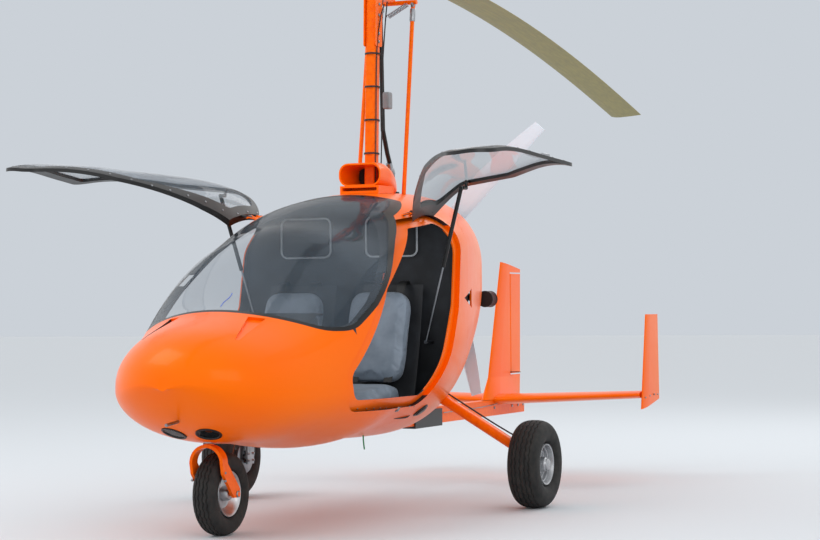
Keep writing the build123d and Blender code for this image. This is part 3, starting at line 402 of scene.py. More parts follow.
def curve(points, count=40):
    """A Catmull-Rom curve through the points, P = (2b + (c-a)f + (2a-5b+4c-d)f^2 + (3b-a-3c+d)f^3) / 2."""
    p = np.asarray(points, float)
    p = np.vstack([2 * p[0] - p[1], p, 2 * p[-1] - p[-2]])
    where = np.linspace(0, len(p) - 3 - 1e-9, count)
    k, f = where.astype(int), (where % 1)[:, None]
    a, b, c, d = (p[k + n] for n in range(4))
    return (2 * b + (c - a) * f + (2 * a - 5 * b + 4 * c - d) * f ** 2 + (3 * b - a - 3 * c + d) * f ** 3) / 2


def pebble(centre, half, power=0.4, turn_deg=0.0, rows=24, cols=48, pinch=0.0):
    """P = C + (a S(cos v) S(cos u), b S(cos v) S(sin u), c S(sin v)) with S(w) = sign(w) |w|^e.

    The sides are pulled in between the corners by the share called pinch."""
    v = np.linspace(-math.pi / 2, math.pi / 2, rows)[:, None]
    u = np.linspace(0, TAU, cols, endpoint=False)[None]
    bend = lambda w: np.sign(w) * np.abs(w) ** power
    x, y, z = bend(np.cos(v)) * bend(np.cos(u)), bend(np.cos(v)) * bend(np.sin(u)), bend(np.sin(v)) + 0 * u
    x, y = x * (1 - pinch * (1 - y ** 2)), y * (1 - pinch * (1 - x ** 2))
    local = np.stack([x * half[0], y * half[1], z * half[2]], -1).reshape(-1, 3)
    c, s = math.cos(math.radians(turn_deg)), math.sin(math.radians(turn_deg))
    turned = np.stack([c * local[:, 0] + s * local[:, 2], local[:, 1], c * local[:, 2] - s * local[:, 0]],
                      -1)
    return turned + np.asarray(centre, float), grid(rows, cols)


def plate(outline, thickness, across, edge=1.5):
    """A flat plate over a star-shaped outline: rims at 1, 1 - edge/size, 0 of the outline on both faces."""
    outline, across = np.asarray(outline, float), np.asarray(across, float)
    across = across / np.linalg.norm(across)
    middle = outline.mean(0)
    inner = middle + (outline - middle) * (1 - edge / np.linalg.norm(outline - middle, axis=1).min())
    rows = [(middle + 0 * outline, 1), (inner, 1), (outline, 1 - 2 * edge / thickness),
            (outline, 2 * edge / thickness - 1),
            (inner, -1), (middle + 0 * outline, -1)]
    points = np.array([ring + across * (side * thickness / 2) for ring, side in rows])
    return points.reshape(-1, 3), grid(6, len(outline))


def box_outline(centre, along, up, half_along, half_up, corner, per_corner=5):
    """A rounded rectangle's outline about a centre, in the plane of two unit directions."""
    a = np.linspace(0, math.pi / 2, per_corner)
    signs = [(1, 1), (-1, 1), (-1, -1), (1, -1)]
    spots = []
    for quarter, (sa, su) in enumerate(signs):
        t = a + quarter * math.pi / 2
        spots.append(np.stack([sa * (half_along - corner) + corner * np.cos(t),
                               su * (half_up - corner) + corner * np.sin(t)], -1))
    flat = np.vstack(spots)
    along, up = np.asarray(along, float), np.asarray(up, float)
    return np.asarray(centre, float) + flat[:, :1] * along + flat[:, 1:] * up


def heads(places, normals, radius, height, steps=12):
    """Button heads r = R sqrt(1 - (s/h)^4), one standing along each normal, its foot sunk a little."""
    s = np.array([-1.0, 0.0, 0.45, 0.75, 0.93, 1.0]) * height
    r = radius * np.sqrt(np.clip(1 - (np.clip(s, 0, None) / height) ** 4, 0, 1))
    profile = np.column_stack([np.append(-height, s), np.append(0.0, r)])
    return join([lathe(profile, place, normal, steps) for place, normal in zip(places, normals)])


def hit(node, place, direction):
    """Where a ray in millimetres meets a CAD node, and the surface's normal there."""
    found, spot, normal, _ = NODES[node].ray_cast(Vector(place) / 1000, Vector(direction))
    return (np.array(spot) * 1000, np.array(normal)) if found else None


def hits(node, places, direction):
    """The places and normals of the rays that meet a CAD node."""
    met = [hit(node, place, direction) for place in places]
    met = [one for one in met if one]
    return [one[0] for one in met], [one[1] for one in met]


def both(places):
    """Each place and its mirror image across the centre plane."""
    return list(places) + [(x, -y, z) for x, y, z in places]


class GyroSettings(bpy.types.PropertyGroup):
    """Sizes and colours that a user may want to change."""
    key_strength: FloatProperty(name="Key light", description="Power of the main soft box", default=290.0,
                                unit="POWER")
    fill_strength: FloatProperty(name="Fill light", description="Power of the fill soft box",
                                 default=140.0, unit="POWER")
    floor_colour: StringProperty(name="Floor colour", description="sRGB hex colour of the studio floor",
                                 default="#D0D4D8")


class GYRO_OT_finishes(bpy.types.Operator):
    """Gives every CAD node its finish"""
    bl_idname = "gyro.finishes"
    bl_label = "Finishes"

    def execute(self, context):
        make_finishes()
        slots = {row["node"]: row["material_slot"] for row in frame["record"]["subparts"]}
        for name, node in NODES.items():
            finish = FINISHES[slots[name]]
            node.data.materials.clear()
            node.data.materials.append(finish)
        for name in ("fuselage_shell", "engine_cowl_port", "engine_cowl_starboard"):
            line_inside(NODES[name])
        return {"FINISHED"}


def under_glass(x, z):
    """True where a place in the side view, in metres, lies inside the windshield's outline.

    Such a place has an odd count of edges above it."""
    outline = np.array(WINDSHIELD, float) / 1000
    inside = np.zeros(len(x), bool)
    for (x0, z0), (x1, z1) in zip(outline, np.roll(outline, -1, 0)):
        between = (x0 > x) != (x1 > x)
        edge = z0 + (z1 - z0) * (x - x0) / (x1 - x0 if x1 != x0 else 1.0)
        inside ^= between & (edge > z + 0.001)
    return inside


def line_inside(node):
    """Trims a shell's inner faces in black: those whose normal points at the cabin's long axis."""
    mesh = node.data
    mesh.materials.append(FINISHES["cabin_black"])
    centres, normals = np.empty(3 * len(mesh.polygons)), np.empty(3 * len(mesh.polygons))
    mesh.polygons.foreach_get("center", centres)
    mesh.polygons.foreach_get("normal", normals)
    centres, normals = centres.reshape(-1, 3), normals.reshape(-1, 3)
    middle = np.interp(centres[:, 0], *np.transpose(HULL_MIDDLE))
    away = np.column_stack([0 * middle, centres[:, 1], centres[:, 2] - middle])
    away /= np.linalg.norm(away, axis=1)[:, None] + 1e-9
    inward = (np.einsum("ij,ij->i", away, normals) < -0.3) | under_glass(centres[:, 0], centres[:, 2])
    mesh.polygons.foreach_set("material_index", inward.astype(np.int32))


def tyre(name, centre, radius, width, bead, body, node, waves, lines):
    """A tyre's section r = m + h S(sin a)^0.8, y = w S(cos a)^0.75 with S(w)^e = sign(w) |w|^e.

    Grooves d exp(-((y - y_k - q sin nt) / g)^4) wave round the tread, and two ribs ring each side."""
    t = np.linspace(0, TAU, 10 * waves, endpoint=False)[:, None]
    across = np.linspace(0.86, -0.86, 121)
    tread = np.arccos(np.sign(across) * np.abs(across) ** (4 / 3))
    a = np.concatenate([tread, np.linspace(tread[-1], tread[0] + TAU, 60)[1:-1]])[None]
    bend = lambda w, e: np.sign(w) * np.abs(w) ** e
    middle, half = (radius + bead) / 2, (radius - bead) / 2
    y = width / 2 * bend(np.cos(a), 0.75) + 0 * t
    r = middle + half * bend(np.sin(a), 0.8) + 0 * t
    crown = np.clip(np.sin(a) * 3 - 1.6, 0, 1)
    for line in lines:
        r = r - crown * 6 * np.exp(-((y - line * width / 2 - 2.6 * np.sin(waves * t + 3 * line)) / 2.8) ** 4)
    side = np.exp(-((r - bead - 0.3 * half) / 2.0) ** 2) + np.exp(-((r - bead - 1.15 * half) / 1.6) ** 2)
    y = y + np.sign(y) * 1.4 * side * (np.abs(np.cos(a)) > 0.6)
    y = np.clip(y, -width / 2, width / 2)
    points = np.stack([centre[0] + r * np.cos(t), centre[1] + y, centre[2] + r * np.sin(t)], -1)
    made = piece(name, (points.reshape(-1, 3), grid(10 * waves, a.size, wrap_rows=True)), "tyre_rubber",
                 body, 60)
    dress(node)


def dress(node):
    """Lets a piece stand for a CAD node by hiding the node."""
    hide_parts(node)


def ring_of(count):
    """Angles of count places spread evenly round a circle."""
    return np.linspace(0, TAU, count, endpoint=False)


def main_wheel(side, name):
    """A split rim with its tyre, bolts and brake disc."""
    x, y, z = MAIN_WHEEL
    centre, out = (x, side * y, z), (0, side, 0)
    body = "wheel_" + name
    tyre("main_tyre_tread_" + name, centre, z, MAIN_TYRE_WIDTH, TYRE_BEAD_R, body, "main_tyre_" + name, 34,
         (-0.55, -0.3, 0.0, 0.3, 0.55))
    rim = piece("split_rim_" + name, lathe(MAIN_RIM, centre, out, 96), "rim_alloy", body)
    dress("main_rim_" + name)
    circle = [(x + 57 * math.cos(t), side * (y + 9), z + 57 * math.sin(t)) for t in ring_of(6)]
    piece("rim_bolts_" + name, heads(circle, [out] * 6, 6.5, 6), "steel", body)
    piece("brake_disc_" + name, lathe(BRAKE_DISC, centre, out, 72), "steel", body)


def leg_fittings(side, name):
    """The brake caliper and bracket bolts at a leg's end, and the hose that runs up the leg."""
    x, y, z = MAIN_WHEEL
    caliper = pebble((x - 66, side * (y - 81), z + 34), (24, 15, 36), 0.35)
    piece("brake_caliper_" + name, caliper, "black_strut", "airframe")
    places = [(x + a, side * 739.5, 218 + b) for a in (-25, 25) for b in (-18, 18, 84, 108)]
    bolts = heads(places, [(0, -side, 0)] * 8, 7, 7, 6)
    piece("leg_bracket_bolts_" + name, bolts, "steel", "airframe")
    run = [(-28, 772, 285), (-14, 748, 340), (2, 700, 372), (4, 600, 428), (4, 400, 546), (6, 235, 646),
           (10, 150, 668), (14, 90, 650)]
    hose = curve([(x, side * y, z) for x, y, z in run], 60)
    piece("brake_hose_" + name, tube(hose, 4, 10), "black_hose", "airframe")


def nose_wheel():
    """The nose tyre and rim, the axle's nuts and the fork's bolts."""
    tyre("nose_tyre_tread", NOSE_WHEEL, NOSE_WHEEL[2], NOSE_TYRE_WIDTH, TYRE_BEAD_R, "nose_wheel",
         "nose_tyre", 30, (-0.5, -0.18, 0.18, 0.5))
    rim = piece("nose_split_rim", lathe(NOSE_RIM, NOSE_WHEEL, (0, 1, 0), 96), "rim_alloy", "nose_wheel")
    dress("nose_rim")
    nuts = [(NOSE_WHEEL[0], side * FORK_FACE_Y, NOSE_WHEEL[2]) for side in (1, -1)]
    piece("nose_axle_nuts", heads(nuts, [(0, 1, 0), (0, -1, 0)], 17, 8, 6), "steel", "nose_fork")
    bolts = [(1800, side * FORK_FACE_Y, z) for side in (1, -1) for z in (250, 285)]
    piece("fork_bolts", heads(bolts, [(0, 1, 0)] * 2 + [(0, -1, 0)] * 2, 6, 5), "steel", "nose_fork")


class GYRO_OT_wheels(bpy.types.Operator):
    """Builds the tyres, split rims, brake discs and calipers"""
    bl_idname = "gyro.wheels"
    bl_label = "Wheels"

    def execute(self, context):
        for side, name in SIDES:
            main_wheel(side, name)
            leg_fittings(side, name)
        nose_wheel()
        return {"FINISHED"}


def swell(pad, cap_mm):
    """Blows a cushion up with the cloth solver, no point moving more than cap_mm."""
    scene = bpy.context.scene
    bpy.context.view_layer.objects.active = pad
    voxels = pad.modifiers.new("voxels", "REMESH")
    voxels.mode = "VOXEL"
    voxels.voxel_size = 0.006
    bpy.ops.object.modifier_apply(modifier=voxels.name)
    rest = np.empty(3 * len(pad.data.vertices))
    pad.data.vertices.foreach_get("co", rest)
    cloth = pad.modifiers.new("cloth", "CLOTH")
    cloth.settings.use_pressure = True
    cloth.settings.uniform_pressure_force = 4.0
    cloth.settings.effector_weights.gravity = 0.0
    cloth.settings.quality = 5
    for number in range(1, 21):
        scene.frame_set(number)
    blown = pad.evaluated_get(bpy.context.evaluated_depsgraph_get()).data
    moved = np.empty_like(rest)
    blown.vertices.foreach_get("co", moved)
    step = (moved - rest).reshape(-1, 3)
    length = np.linalg.norm(step, axis=1)[:, None] + 1e-9
    step *= np.minimum(1, cap_mm / 1000 / length)
    pad.modifiers.remove(cloth)
    pad.data.vertices.foreach_set("co", rest + step.ravel())
    pad.data.shade_smooth()
    scene.frame_set(1)
    pad.modifiers.new("smooth", "SUBSURF").levels = 1
    pad.modifiers["smooth"].render_levels = 1


def strip(line, across, half_width, thickness):
    """A closed strip c +- W across +- (T/2) n over a line c, n square to the run, edges rounded off."""
    c, across = np.asarray(line, float), np.asarray(across, float)
    run = np.gradient(c, axis=0)
    up = np.cross(run, across)
    up /= np.linalg.norm(up, axis=1)[:, None]
    t = ring_of(16)
    w = half_width * np.sign(np.cos(t)) * np.abs(np.cos(t)) ** 0.15
    h = thickness / 2 * np.sign(np.sin(t)) * np.abs(np.sin(t)) ** 0.6
    rings = c[:, None] + w[None, :, None] * across + h[None, :, None] * up[:, None]
    rings = np.concatenate([np.repeat(c[:1, None], 16, 1), rings, np.repeat(c[-1:, None], 16, 1)])
    return rings.reshape(-1, 3), grid(len(rings), 16)


def seat(side, name):
    """Two blown cushions on a bent shell."""
    y = side * SEAT_Y
    # columns: name, centre, half sizes, lean in degrees
    pads = [
        ("seat_cushion_", (792, y, 556), (205, 172, 52), 6.0),
        ("back_cushion_", (548, y, 856), (46, 172, 232), -14.0),
    ]
    base, back = [
        piece(pad + name, pebble(centre, half, 0.42, lean, 32, 64, 0.05), "seat_cloth", "airframe")
        for pad, centre, half, lean in pads]
    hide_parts("seat_" + name)
    for pad in (base, back):
        swell(pad, CUSHION_CAP_MM)
    run = [(1008, 486), (1004, 520), (985, 492), (640, 470), (560, 500), (520, 580), (450, 860), (415, 1060),
           (405, 1110)]
    line = curve([(x, 0, z) for x, z in run], 48)
    line[:, 1] = y
    piece("seat_shell_" + name, strip(line, (0, 1, 0), 184, 9), "cabin_black", "airframe")


def stick_grip(side, name):
    """A finger-shaped foam grip on a stick."""
    grip = lathe(STICK_GRIP, (1072, side * STICK_Y, 766), (-0.172, 0, 0.985), 32)
    piece("stick_grip_" + name, grip, "grip_rubber", "airframe")


def dials():
    """Two rows of round gauges on the raked panel, under a curved shield."""
    rake = np.array([-0.988, 0.0, 0.152])
    rows = [(1303, 800), (1320, 893)]
    spots = [(x, y, z) for x, z in rows for y in (-235, -140, -45, 45, 140, 235)]
    bezels = [lathe(GAUGE_BEZEL, spot, rake, 40) for spot in spots]
    piece("gauge_bezels", join(bezels), "black_frame", "airframe")
    faces = [lathe(GAUGE_FACE, spot, rake, 32) for spot in spots]
    piece("gauge_faces", join(faces), "dial_face", "airframe")
    hood = curve([(1560, 0, 872), (1500, 0, 912), (1400, 0, 950), (1320, 0, 972), (1284, 0, 968)], 24)
    piece("glare_shield", strip(hood, (0, 1, 0), 312, 8), "cabin_black", "airframe")


def head_panels():
    """A rounded frame of light tube on the bulkhead behind each head."""
    frames = []
    for side in (1, -1):
        outline = box_outline((377, side * SEAT_Y, 1350), (0, 1, 0), (0, 0, 1), 138, 98, 34, 9)
        frames.append(tube(outline, 5, 12, closed=True))
    piece("head_panel_frames", join(frames), "grey_tube", "airframe")


def shoulder_straps():
    """Two webbing straps down each seat's back."""
    run = [(405, 1110), (425, 1128), (470, 1100), (520, 980), (575, 800), (640, 640)]
    lines = [curve([(x, y, z) for x, z in run], 40) for y in (-330, -150, 150, 330)]
    belts = [strip(line, (0, 1, 0), 22, 2.4) for line in lines]
    piece("shoulder_straps", join(belts), "black_hose", "airframe")


class GYRO_OT_cabin(bpy.types.Operator):
    """Builds the seats, the dials, the grips, the belts and the framed panels behind the heads"""
    bl_idname = "gyro.cabin"
    bl_label = "Cabin"

    def execute(self, context):
        for side, name in SIDES:
            seat(side, name)
            stick_grip(side, name)
        dials()
        head_panels()
        shoulder_straps()
        return {"FINISHED"}


def raised(places, directions=False):
    """Points or directions on the shut port door, turned about its hinge to the raised door."""
    turn = Matrix.Rotation(math.radians(DOOR_OPEN_DEG), 3, Vector(DOOR_HINGE_DIR).normalized())
    hinge = Vector((0, 0, 0)) if directions else Vector(DOOR_HINGE)
    return [tuple(turn @ (Vector(place) - hinge) + hinge) for place in places]


def ring_spots(pitch, outside):
    """Places in the side view along the door's opening, about pitch apart and a little outside it."""
    corners = np.array(DOOR_OPENING, float)
    middle = corners.mean(0)
    spots = []
    for start, end in zip(corners, np.roll(corners, -1, 0)):
        edge = end - start
        out = np.array([-edge[1], edge[0]]) / np.linalg.norm(edge)
        if out.dot(start + edge / 2 - middle) < 0:
            out = -out
        count = max(1, round(np.linalg.norm(edge) / pitch))
        spots += [start + edge * (n + 0.5) / count + out * outside for n in range(count)]
    return spots


def door_fittings():
    """Screws round each door's ring and a handle at its lower edge, found on the raised port door."""
    outward = Vector(raised([(0, 1, 0)], True)[0])
    far = raised([(x, 900, z) for x, z in ring_spots(105, 24)])
    places, normals = hits("door_frame_port", far, -outward)
    piece("door_screws_port", heads(places, normals, 5.5, 2.6, 10), "steel", "door_port")
    mirrored = heads([p * MIRROR for p in places], [n * MIRROR for n in normals], 5.5, 2.6, 10)
    piece("door_screws_starboard", mirrored, "steel", "door_starboard")
    found = hits("door_frame_port", raised([(930, 900, 562)]), -outward)
    for side, name in SIDES:
        if found[0]:
            place = found[0][0] * (1, side, 1)
            piece("door_handle_" + name, pebble(place, (46, 12, 9), 0.5), "steel", "door_" + name)


def sill_fittings():
    """Screws along both sills, a keeper for each door's latch and the fuel cap on the port side."""
    sills = [(1376, 575), (1290, 572), (1205, 569), (1120, 566), (1035, 563), (820, 558), (752, 556),
             (685, 554)]
    places, normals = hits("fuselage_shell", [(x, 900, z - 26) for x, z in sills], (0, -1, 0))
    screws = heads(places + [p * MIRROR for p in places], normals + [n * MIRROR for n in normals], 5, 2.4, 10)
    piece("sill_screws", screws, "steel", "airframe")
    (place,), (normal,) = hits("fuselage_shell", [(913, 900, 524)], (0, -1, 0))
    keepers = [lathe(DOOR_KEEPER, place * flip, normal * flip, 28) for flip in (1, MIRROR)]
    piece("door_keepers", join(keepers), "steel", "airframe")
    (place,), (normal,) = hits("fuselage_shell", [(500, 900, 500)], (0, -1, 0))
    piece("fuel_cap", lathe(FUEL_CAP, place, normal, 48), "black_frame", "airframe")


class GYRO_OT_doors(bpy.types.Operator):
    """Builds the door screws and handles, the sill screws, the latch keepers and the fuel cap"""
    bl_idname = "gyro.doors"
    bl_label = "Doors"

    def execute(self, context):
        door_fittings()
        sill_fittings()
        return {"FINISHED"}


def mast_bolts():
    """Bolts through the side plates at the mast's head."""
    rows = ((72, 2362), (70, 2405), (66, 2500), (62, 2556), (60, 2624), (40, 2624), (82, 2590))
    places = [(x, side * 34, z) for side in (1, -1) for x, z in rows]
    normals = [(0, side, 0) for side in (1, -1) for _ in rows]
    piece("mast_head_bolts", heads(places, normals, 9, 7, 6), "steel", "airframe")


def spin_up_gear():
    """The toothed ring on the rotor's shaft and the drive that spins it."""
    piece("ring_gear", lathe(RING_GEAR, (0, 0, 2712.6), (0, 0, 1), 480, 60, 0.018), "steel", "rotor_shaft")
    piece("spin_drive", lathe(SPIN_DRIVE, (-112, 0, 2650), (0, 0, 1), 40), "bare_alloy", "airframe")


def blade_roots():
    """Straps and bolts that hold the blades to the hub bar, and the teeter bolt's heads."""
    turn = math.radians(ROTOR_AZIMUTH_DEG)
    along = np.array([math.cos(turn), math.sin(turn), 0])
    wide = np.array([-math.sin(turn), math.cos(turn), 0])
    straps, bolts, ways = [], [], []
    for way in (1, -1):
        for up in (1, -1):
            centre = along * way * 355 + np.array([0, 0, ROTOR_Z + up * 15])
            straps.append(plate(box_outline(centre, along, wide, 105, 30, 12), 3, (0, 0, 1)))
        for r in (262, 292, 330, 368, 406, 442):
            for off in (-14, 14):
                for up in (1, -1):
                    bolts.append(along * way * r + wide * off + np.array([0, 0, ROTOR_Z + up * 16]))
                    ways.append((0, 0, up))
    piece("blade_straps", join(straps), "bare_alloy", "rotor")
    piece("blade_strap_bolts", heads(bolts, ways, 6.5, 2, 6), "steel", "rotor")
    pivot = [wide * side * 35 + np.array([0, 0, ROTOR_Z]) for side in (1, -1)]
    piece("teeter_bolt_heads", heads(pivot, [wide, -wide], 12, 8, 6), "steel", "rotor_shaft")


def control_rods():
    """Eyes and sleeves at the ends of the two rods, and the trim spring beside them."""
    eyes = [lathe(ROD_EYE, end, (0, 1, 0), 28) for end in both([ROD_TOP, ROD_FOOT])]
    piece("rod_ends", join(eyes), "steel", "airframe")
    down = np.array([153, 6, -1014.0]) / np.linalg.norm([153, 6, -1014.0])
    ways = [down * (1, side, 1) for side in (1, -1)]
    tops = [np.array(ROD_TOP) * (1, side, 1) + way * 20 for side, way in zip((1, -1), ways)]
    sleeves = [lathe(ROD_SLEEVE, top, way, 24) for top, way in zip(tops, ways)]
    piece("rod_sleeves", join(sleeves), "bare_alloy", "airframe")
    t = np.linspace(0, 1, 260)
    start, end = np.array([-118, 112, 2572.0]), np.array([-30, 42, 2500.0])
    side_a, side_b, _ = basis(end - start)
    swirl = np.cos(26 * math.pi * t)[:, None] * side_a + np.sin(26 * math.pi * t)[:, None] * side_b
    coil = start + (end - start) * t[:, None] + 11 * swirl
    piece("trim_spring", tube(coil, 2, 8), "steel", "airframe")


def mast_wiring():
    """The box and the cables on the mast, their ties, and the ferrules of the spin-up shaft."""
    piece("trim_box", pebble((-46, 28, 2070), (26, 18, 44), 0.25), "grey_box", "airframe")
    # columns: name, radius, run
    cables = [
        ("mast_cable_front", 3.0,
         [(128, 36, 1600), (112, 34, 1900), (92, 33, 2300), (60, 40, 2480), (20, 44, 2560)]),
        ("mast_cable_rear", 3.5,
         [(60, 33, 1600), (44, 34, 1850), (26, 33, 2200), (-20, 30, 2460), (-60, 24, 2585)]),
    ]
    for name, radius, run in cables:
        piece(name, tube(curve(run, 50), radius, 8), "black_hose", "airframe")
    shares = (0.62, 0.7, 0.78, 0.86)
    ties = [lathe(CABLE_TIE, (146 - 86 * f, 0, 460 + 2140 * f), (-0.04, 0, 1), 40) for f in shares]
    piece("mast_ties", join(ties), "black_hose", "airframe")
    ferrules = [lathe(SHAFT_FERRULE, (-150, 0, 1690), (0.5, 0, 0.87), 32),
                lathe(SHAFT_FERRULE, (-21, 0, 2560), (-0.06, 0, -1), 32)]
    piece("shaft_ferrules", join(ferrules), "bare_alloy", "airframe")


class GYRO_OT_head(bpy.types.Operator):
    """Builds the rotor head's ring gear, bolts, blade straps, rod ends, trim spring and drive"""
    bl_idname = "gyro.head"
    bl_label = "Rotor head"

    def execute(self, context):
        mast_bolts()
        spin_up_gear()
        blade_roots()
        control_rods()
        mast_wiring()
        return {"FINISHED"}


def engine():
    """A cast casing with four finned barrels."""
    lumps = [pebble((-300, 0, 1180), (225, 112, 128), 0.22), pebble((-300, 0, 1330), (170, 70, 46), 0.3),
             pebble((-500, 0, 1290), (44, 92, 88), 0.3)]
    casing = piece("engine_casing", join(lumps), "engine_grey", "airframe")
    dress("engine")
    fins = [(6 + 7 * k + d, r) for k in range(11) for d, r in BARREL_FIN]
    barrel = [(0, 0), (0, 52)] + fins + [(86, 58), (98, 60), (100, 0)]
    barrels = [lathe(barrel, (x, side * 100, 1180), (0, side, 0), 40) for x in BARREL_X for side in (1, -1)]
    piece("cylinder_barrels", join(barrels), "bare_alloy", "airframe")


def exhaust():
    """A pipe from under each barrel into a muffler that lies across."""
    pipes = []
    for x in BARREL_X:
        for side in (1, -1):
            run = [(x, side * 176, 1120), (x - 4, side * 178, 1060), (x - 30, side * 150, 1000),
                   (-420, side * 90, 950)]
            pipes.append(tube(curve(run, 30), 19, 20))
    pipes.append(lathe(MUFFLER, (-430, 0, 900), (0, 1, 0), 56))
    piece("exhaust", join(pipes), "exhaust", "airframe")


def gearbox():
    """The reduction gearbox behind the engine, with a ring of bolts."""
    x, y, z = GEARBOX_AT
    piece("gearbox", lathe(GEARBOX, GEARBOX_AT, (-1, 0, 0), 72), "bare_alloy", "airframe")
    places = [(x - 40, y + 84 * math.cos(t), z + 84 * math.sin(t)) for t in ring_of(10)]
    piece("gearbox_bolts", heads(places, [(-1, 0, 0)] * 10, 6, 6, 6), "steel", "airframe")


def air_filter():
    """A pleated filter between two rubber caps, and the pipe that leads to the engine."""
    pleats = piece("filter_element", lathe(FILTER_PLEATS, FILTER_AT, (1, 0, 0), 360, 45, 0.05), "brake_red",
                   "airframe")
    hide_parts("air_filter")
    caps = []
    for s in (1, -1):
        cap = [(s * 32, 0), (s * 32, 44), (s * 37, 44), (s * 38, 40), (s * 38, 0)]
        caps.append(lathe(cap, FILTER_AT, (1, 0, 0), 48))
    piece("filter_caps", join(caps), "grip_rubber", "airframe")
    run = curve([(-664, 296, 1041), (-640, 262, 1048), (-590, 210, 1060), (-520, 172, 1080)], 24)
    piece("intake_pipe", tube(run, 20, 24), "black_hose", "airframe")


def propeller_hub():
    """Two hub halves clamped by twelve bolts, with a cuff at each blade's root."""
    x, _, z = PROP_AT
    hub = piece("prop_hub_halves", lathe(PROP_HUB, PROP_AT, (-1, 0, 0), 72), "bare_alloy", "propeller")
    dress("propeller_hub")
    places = [(x - 18, 54 * math.cos(t), z + 54 * math.sin(t)) for t in ring_of(12)]
    piece("prop_hub_bolts", heads(places, [(-1, 0, 0)] * 12, 5, 9, 6), "steel", "propeller")
    turns = [math.radians(PROP_PHASE_DEG + 120 * n) for n in range(3)]
    cuffs = [lathe(BLADE_CUFF, PROP_AT, (0, math.sin(t), math.cos(t)), 32) for t in turns]
    piece("prop_blade_cuffs", join(cuffs), "black_strut", "propeller")


class GYRO_OT_power(bpy.types.Operator):
    """Builds the engine's casing, finned barrels, exhaust, gearbox, filter and the propeller's hub"""
    bl_idname = "gyro.power"
    bl_label = "Engine and propeller"

    def execute(self, context):
        engine()
        exhaust()
        gearbox()
        air_filter()
        propeller_hub()
        return {"FINISHED"}


def landing_lamps():
    """A bezel and a bright bowl for each landing lamp."""
    out = np.array([0.42, 0.12, -0.9]) / np.linalg.norm([0.42, 0.12, -0.9])
    lamp = np.array([1950.0, 86.0, 459.0])
    flips = [np.array([1, side, 1]) for side in (1, -1)]
    bezels = [lathe(LAMP_BEZEL, lamp * f, out * f, 64) for f in flips]
    piece("lamp_bezels", join(bezels), "black_frame", "airframe")
    bowls = [lathe(LAMP_BOWL, lamp * f - 1.5 * out * f, out * f, 64) for f in flips]
    piece("lamp_reflectors", join(bowls), "engine_grey", "airframe")


def vent_screens_and_scoop_shade():
    """Dark screens in the side vents, and a dark sheet in the roof scoop's mouth that paints the shade inside
    the scoop.
    """
    rim = [(280, 536, 1044), (200, 528, 1084), (30, 500, 1108), (30, 500, 978), (200, 528, 1002)]
    corners = np.array(rim, float)
    vents = [plate(corners * (1, side, 1), 4, (0.12, side * -0.99, 0)) for side in (1, -1)]
    piece("vent_screens", join(vents), "grip_rubber", "airframe")
    # painted shade: this dark sheet sits behind the scoop's open mouth in place of the shadow inside the
    # hollow scoop
    mouth = box_outline((64, 0, 1676), (0, 1, 0), (0, 0, 1), 84, 42, 26)
    piece("scoop_painted_shade", plate(mouth, 6, (1, 0, 0)), "grip_rubber", "airframe")


def tail_fittings(side, name):
    """One side's rudder cable under the keel, keel bolts and tip fin bolts."""
    run = curve([(-1560, side * 44, 446), (-1500, side * 38, 436), (-1300, side * 34, 428),
                 (-900, side * 34, 424), (-730, side * 38, 424)], 40)
    piece("rudder_cable_" + name, tube(run, 2.4, 8), "steel", "airframe")
    keel = [(x, side * 30, 415) for x in (-1960, -1880, -1780, -1500, 20, 110)]
    piece("keel_bolts_" + name, heads(keel, [(0, side, 0)] * 6, 9, 6, 6), "steel", "airframe")
    tips = [(x, side * 927, z) for x, z in ((-1560, 480), (-1640, 488), (-1720, 492), (-1790, 490))]
    piece("tip_fin_bolts_" + name, heads(tips, [(0, side, 0)] * 4, 5, 3), "steel", "airframe")


def rudder_horn():
    """The flat horn across the rudder's foot that its cables pull."""
    half = [(-1806, 14), (-1818, 66), (-1832, 70), (-1850, 30)]
    rim = [(x, -y) for x, y in (half[2], half[1], half[0])] + half + [(half[3][0], -half[3][1])]
    horn = np.array([(x, y, 612) for x, y in rim], float)
    piece("rudder_horn", plate(horn, 5, (0, 0, 1)), "brake_red", "rudder")


def free_cord(name, path, radius, sides, finish, diameter, **facts):
    """A cord with a bare end along the path, in millimetres."""
    cord = piece(name, tube(path, radius, sides), finish, "airframe")


def drain_tube():
    """A soft tube that hangs from a drain in the belly."""
    outlet, _ = hit("fuselage_shell", (600, 180, 0), (0, 0, 1))
    path = outlet + np.array([[0, 0, 2.0], [0, 0, -16], [-1, 1, -34], [-3, 2, -52], [-6, 3, -68]])
    free_cord("drain_tube", curve(path, 24), 3.5, 14, "green_hose", 0.007)


def yaw_string():
    """A length of yarn that lies on the windshield."""
    above = [(x, 0.5 + 3 * math.sin(x / 14), 2200) for x in np.linspace(1690, 1575, 16)]
    places, normals = hits("windshield_pane", above, (0, 0, -1))
    path = np.array(places) + np.array(normals) * 2.2
    free_cord("yaw_string", path, 1.5, 8, "blue_yarn", 0.003, stiffness="limp")


class GYRO_OT_outside(bpy.types.Operator):
    """Builds the lamp bezels, vent screens, cables, keel bolts, drain tube and yaw string"""
    bl_idname = "gyro.outside"
    bl_label = "Outside"

    def execute(self, context):
        landing_lamps()
        vent_screens_and_scoop_shade()
        for side, name in SIDES:
            tail_fittings(side, name)
        rudder_horn()
        drain_tube()
        yaw_string()
        return {"FINISHED"}


